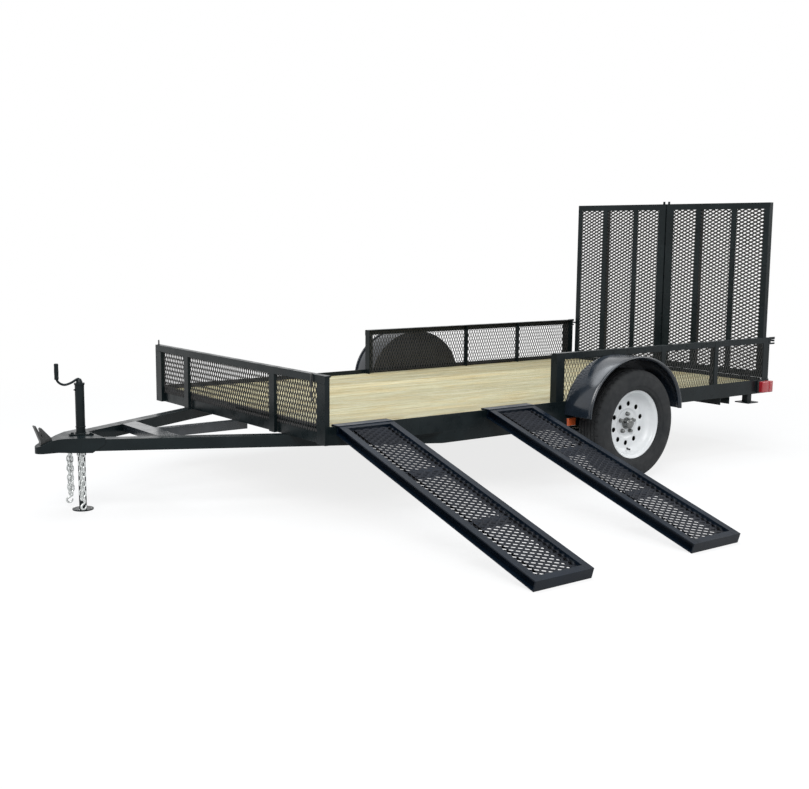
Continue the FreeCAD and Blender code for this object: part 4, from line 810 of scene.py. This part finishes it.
def lamps():
    for side, tag in SIDES:
        lens_cover("marker_lamp_" + tag, "amber_lens", side)
        lens_cover("tail_lamp_lens_" + tag, "red_lens", side)
        bm = bmesh.new()
        for node, depth, bevel, segments in (("marker_lamp_", 0.006, 0.002, 2),
                                             ("tail_lamp_housing_", 0.014, 0.003, 3)):
            low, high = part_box(node + tag)
            inner = inner_outer((low, high), side)[0]
            ends = sorted((inner, inner + side * depth))
            slab(bm, (low.x, ends[0], low.z), (high.x, ends[1], high.z), bevel, segments)
        piece("lamp_bases_" + tag, bm, "lamp_black", replaces=["tail_lamp_housing_" + tag])
        low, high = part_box("tail_lamp_housing_" + tag)
        inner, outer = inner_outer((low, high), side)
        bm = bmesh.new()
        ends = sorted((inner + side * 0.013, outer - side * 0.0015))
        slab(bm, (low.x + 0.0005, ends[0], low.z + 0.002), (high.x - 0.002, ends[1], high.z - 0.002), 0.007, 4)
        for z in (low.z + 0.016, high.z - 0.016):
            turn(bm, (low.x + 0.052, outer - side * 0.0018, z), (0, side, 0),
                 [(0, 0.0048), (0.0016, 0.0040), (0.0010, 0)], 14)
        piece("tail_lamp_side_" + tag, bm, "red_lens")


# Running gear: U-bolts, tie plates and nuts at the springs, and a dark disc behind each wheel disc, painted shade seen
# through the vents

# Profile of the dark disc behind each wheel disc, painted shade: (distance along the axle, radius)
SHADE_DISC = [(-0.0625, 0.0305), (-0.0625, 0.0620), (-0.0585, 0.0700), (-0.0585, 0.1400), (-0.0625, 0.1500),
          (-0.0625, 0.1795), (-0.0600, 0.1828), (-0.0530, 0.1832), (-0.0520, 0.1850), (-0.0540, 0.1858),
          (-0.0605, 0.1854), (-0.0650, 0.1805),
          (-0.0650, 0.1490), (-0.0610, 0.1390), (-0.0610, 0.0710), (-0.0650, 0.0630), (-0.0650, 0.0305)]
AXLE_Z, SPRING_TOP = -0.115, -0.0505
U_BOLT, U_BOLT_WIRE = 0.0365, 0.0055


def u_bolt(bm, middle, y):
    """A bolt bent under the axle beam, with a nut on each end above the tie plate."""
    tip = SPRING_TOP + 0.024
    ends = [Vector((middle + way * U_BOLT, y, z)) for way, z in ((1, tip), (1, AXLE_Z), (-1, AXLE_Z), (-1, tip))]
    bends = [math.pi * k / 14 for k in range(1, 14)]
    under = [Vector((middle + U_BOLT * math.cos(bend), y, AXLE_Z - U_BOLT * math.sin(bend))) for bend in bends]
    tube(bm, ends[:2] + under + ends[2:], U_BOLT_WIRE, 10)
    for end in (-1, 1):
        bolt(bm, (middle + end * U_BOLT, y, SPRING_TOP + 0.008), UP, 0.0095)


def running_gear():
    for side, tag in SIDES:
        low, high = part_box("leaf_spring_" + tag)
        hub = (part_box("rim_" + tag)[0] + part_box("rim_" + tag)[1]) / 2
        x, y, top = hub.x, (low.y + high.y) / 2, SPRING_TOP
        bm = bmesh.new()
        slab(bm, (x - 0.055, y - 0.040, top), (x + 0.055, y + 0.040, top + 0.008), 0.002)
        turn(bm, (x, y, top + 0.008), UP, [(0, 0.009), (0.006, 0.009), (0.008, 0.006), (0.008, 0)], 20)
        for offset in (-0.0305, 0.0305):
            u_bolt(bm, x, y + offset)
        for end in (-0.33, 0.33):
            for way in (-1, 1):
                bolt(bm, (x + end, y + way * 0.0292, -0.0465), (0, way, 0), 0.0115)
        for end in (-0.17, 0.17):
            slab(bm, (x + end - 0.010, y - 0.0255, -0.072), (x + end + 0.010, y + 0.0255, -0.040), 0.002)
        piece("spring_fixings_" + tag, bm, "frame_black")
        # The dark disc behind the wheel disc stands for shade: painted shade that fills the vents
        bm = bmesh.new()
        turn(bm, hub, (0, side, 0), SHADE_DISC, 120, loop=True)
        piece("painted_shade_disc_" + tag, bm, "frame_black", material=PAINTED_SHADE)


# Weld beads on the panels, gates and ramps

def panel_welds():
    """Beads at the corners and uprights of the front and side panels."""
    bm = bmesh.new()
    low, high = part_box("front_panel_frame")
    rail_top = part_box("front_rail")[1].z
    for side in (-1, 1):
        for y in (0.902, 0.978):
            weld(bm, (low.x + 0.004, side * y, high.z - 0.006), (high.x - 0.003, side * y, high.z - 0.006), 0.0026)
        weld(bm, (high.x, side * 0.904, high.z - 0.040), (high.x, side * 0.976, high.z - 0.040), 0.0030)
    for upright in (0.453, -0.560):
        for y in (upright - 0.027, upright + 0.027):
            weld(bm, (high.x - 0.003, y, high.z - 0.038), (high.x - 0.003, y, high.z - 0.010), 0.0028)
            weld(bm, (high.x - 0.006, y, rail_top + 0.002), (low.x + 0.012, y, rail_top + 0.002), 0.0028)
    low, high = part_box("side_panel_frame_left")
    for side in (-1, 1):
        for x in (low.x + 0.066, BED_FRONT - 1.618, BED_REAR + 1.118, BED_REAR + 0.588):
            weld(bm, (x, side * 0.9715, high.z - 0.040), (x, side * 0.9715, high.z - 0.006), 0.0026)
            weld(bm, (x, side * 0.9690, low.z + 0.003), (x, side * 0.9330, low.z + 0.003), 0.0028)
    piece("frame_welds", bm, "frame_black")


def gate_welds():
    for tag in ("left", "right"):
        bm = bmesh.new()
        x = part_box("gate_frame_" + tag)[1].x - 0.0043
        for part in parts_of("gate_mesh_" + tag):
            near, far = span(part)
            for y in (near.y - 0.004, far.y + 0.004):
                for z, way in ((near.z - 0.001, 1), (far.z + 0.001, -1)):
                    weld(bm, (x, y, z), (x, y, z + way * 0.030), 0.0026)
        piece("gate_welds_" + tag, bm, "frame_black", "gate_" + tag)


def ramp_welds():
    for tag in ("front", "rear"):
        bm = bmesh.new()
        head, slope, normal, left, right = ramp_plane(tag)
        along = slope.normalized()
        for share, length in ((0.0, -0.036), (1.0, 0.036)):
            for x in (left, right):
                spot = head + normal * 0.0145 + slope * share + Vector((x, 0, 0))
                weld(bm, spot, spot + along * length, 0.0028)
        for x in (left, right):
            edge = head + Vector((x, 0, 0)) + normal * 0.003
            for k in range(10):
                spot = edge + slope * (0.05 + 0.1 * k)
                weld(bm, spot, spot + along * 0.030, 0.0026)
        piece("ramp_welds_" + tag, bm, "frame_black", "ramp_" + tag)


def pins():
    """A hooked pin and a straight one on the front panel."""
    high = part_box("front_panel_frame")[1]
    bm = bmesh.new()
    hook = [(-0.004, 0.862, -0.004), (0.004, 0.862, 0.001), (0.0085, 0.862, -0.012), (0.0085, 0.863, -0.060),
            (0.0085, 0.865, -0.118), (0.0085, 0.876, -0.134)]
    tube(bm, smooth_path([(high.x + x, y, high.z + z) for x, y, z in hook], 5), 0.0045, 10)
    turn(bm, (high.x - 0.016, -0.962, high.z), UP, [(0, 0), (0, 0.0085), (0.003, 0.0085), (0.004, 0.0050),
                                                    (0.026, 0.0046), (0.031, 0.0028), (0.031, 0)], 20)
    piece("front_pins", bm, "frame_black", material=STEEL)


mesh_panels()
deck()
pins()
wheels()
fenders()
chains()
jack()
lamps()
running_gear()
panel_welds()
gate_welds()
ramp_welds()

# CAD nodes that show as they are, in a finish of their own; the ramp frames' paint also carries a painted sky
# reflection
nodes["coupler_latch"].data.materials[0] = STEEL
nodes["tongue_braces"].data.materials[0] = GLOSSY
for tag in ("front", "rear"):
    nodes["ramp_frame_" + tag].data.materials[0] = RAMP


# Stage: floor, world, lights and camera

def clear_rays(tree):
    """1 for the camera, glossy and transmission rays, which see plain white around the part."""
    path = add_node(tree, "ShaderNodeLightPath")
    share = path.outputs["Is Camera Ray"]
    for kind in ("Is Glossy Ray", "Is Transmission Ray"):
        either = add_node(tree, "ShaderNodeMath", operation="MAXIMUM")
        tree.links.new(share, either.inputs[0])
        tree.links.new(path.outputs[kind], either.inputs[1])
        share = either.outputs[0]
    return share


def backdrop(size=60):
    """A floor under the tyres that turns to plain white away from the part."""
    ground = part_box("tyre_left")[0].z
    mesh = bpy.data.meshes.new("floor")
    mesh.from_pydata([(-size, -size, ground), (size, -size, ground), (size, size, ground), (-size, size, ground)], [],
                     [(0, 1, 2, 3)])
    floor = bpy.data.objects.new("floor", mesh)
    bpy.context.scene.collection.objects.link(floor)
    material = bpy.data.materials.new("floor_white")
    material.use_nodes = True
    tree = material.node_tree
    tree.nodes.clear()
    output = add_node(tree, "ShaderNodeOutputMaterial")
    clear = clear_rays(tree)
    tone = add_node(tree, "ShaderNodeMix", data_type="RGBA")
    tone.inputs[6].default_value = (0.42, 0.42, 0.42, 1)
    tone.inputs[7].default_value = (0.92, 0.92, 0.92, 1)
    tree.links.new(clear, tone.inputs[0])
    diffuse = add_node(tree, "ShaderNodeBsdfDiffuse")
    tree.links.new(tone.outputs[2], diffuse.inputs["Color"])
    glow = add_node(tree, "ShaderNodeEmission", Color=(1, 1, 1, 1))
    place = add_node(tree, "ShaderNodeTexCoord")
    away = add_node(tree, "ShaderNodeVectorMath", operation="DISTANCE")
    away.inputs[1].default_value = (-2.3, 0.4, ground)
    tree.links.new(place.outputs["Object"], away.inputs[0])
    fade = add_node(tree, "ShaderNodeMapRange", interpolation_type="SMOOTHSTEP",
                    **{"From Min": 2.2, "From Max": 6.0, "To Min": 0.80, "To Max": 1.0})
    tree.links.new(away.outputs["Value"], fade.inputs["Value"])
    share = add_node(tree, "ShaderNodeMath", operation="MULTIPLY")
    tree.links.new(fade.outputs["Result"], share.inputs[0])
    tree.links.new(clear, share.inputs[1])
    mixed = add_node(tree, "ShaderNodeMixShader")
    tree.links.new(share.outputs[0], mixed.inputs[0])
    tree.links.new(diffuse.outputs[0], mixed.inputs[1])
    tree.links.new(glow.outputs[0], mixed.inputs[2])
    tree.links.new(mixed.outputs[0], output.inputs["Surface"])
    mesh.materials.append(material)


def sky():
    """Soft, slightly blue light from all around, seen as plain white."""
    world = bpy.data.worlds.new("studio")
    bpy.context.scene.world = world
    world.use_nodes = True
    tree = world.node_tree
    tree.nodes.clear()
    output = add_node(tree, "ShaderNodeOutputWorld")
    soft = add_node(tree, "ShaderNodeBackground", Color=(0.88, 0.94, 1.0, 1), Strength=0.36)
    backing = add_node(tree, "ShaderNodeBackground", Color=(1, 1, 1, 1), Strength=1.0)
    mixed = add_node(tree, "ShaderNodeMixShader")
    tree.links.new(clear_rays(tree), mixed.inputs[0])
    tree.links.new(soft.outputs[0], mixed.inputs[1])
    tree.links.new(backing.outputs[0], mixed.inputs[2])
    tree.links.new(mixed.outputs[0], output.inputs["Surface"])


def area_light(name, place, target, size, power, color=(1, 1, 1)):
    data = bpy.data.lights.new(name, "AREA")
    data.shape = "SQUARE"
    data.size = size
    data.energy = power
    data.color = color
    lamp = bpy.data.objects.new(name, data)
    bpy.context.scene.collection.objects.link(lamp)
    lamp.location = place
    lamp.rotation_euler = (Vector(target) - Vector(place)).to_track_quat("-Z", "Y").to_euler()


# The camera fitted to the photograph: its frame, focal length and middle in pixels, and its place in metres from
# the middle of the bed's front edge, on the ground
FRAME_WIDTH, FRAME_HEIGHT = 809, 789
FOCAL = 1157.17
MIDDLE_X, MIDDLE_Y = 409.20, 400.02
CAMERA_PLACE = (3.1444, 5.7943, 1.4582)
YAW, PITCH, ROLL = 0.6518, -0.1426, 0.0095
SENSOR = 36.0


def camera():
    data = bpy.data.cameras.new("camera")
    data.sensor_width = SENSOR
    data.lens = SENSOR * FOCAL / FRAME_WIDTH
    data.shift_x = (FRAME_WIDTH / 2 - MIDDLE_X) / FRAME_WIDTH
    data.shift_y = (MIDDLE_Y - FRAME_HEIGHT / 2) / FRAME_WIDTH
    data.clip_end = 200
    view = bpy.data.objects.new("camera", data)
    bpy.context.scene.collection.objects.link(view)
    ahead = Vector((-math.sin(YAW) * math.cos(PITCH), -math.cos(YAW) * math.cos(PITCH), math.sin(PITCH)))
    right = ahead.cross(Vector(UP)).normalized()
    up = right.cross(ahead)
    right, up = math.cos(ROLL) * right + math.sin(ROLL) * up, math.cos(ROLL) * up - math.sin(ROLL) * right
    facing = Matrix((right, up, -ahead)).transposed().to_4x4()
    x, y, z = CAMERA_PLACE
    view.matrix_world = Matrix.Translation((x + BED_FRONT, y, z - COUPLER_HEIGHT)) @ facing
    bpy.context.scene.camera = view


backdrop()
sky()
area_light("key", (3.0, 6.0, 6.5), (-2.6, 0.2, 0.0), 5.0, 600, (1.0, 0.99, 0.98))
area_light("top", (-2.5, -1.0, 7.5), (-2.5, 0.2, 0.0), 7.0, 470, (0.92, 0.96, 1.0))
area_light("side", (-8.5, 5.0, 3.5), (-2.6, 0.2, 0.0), 4.0, 150)
camera()
bpy.context.scene.view_settings.view_transform = "Standard"
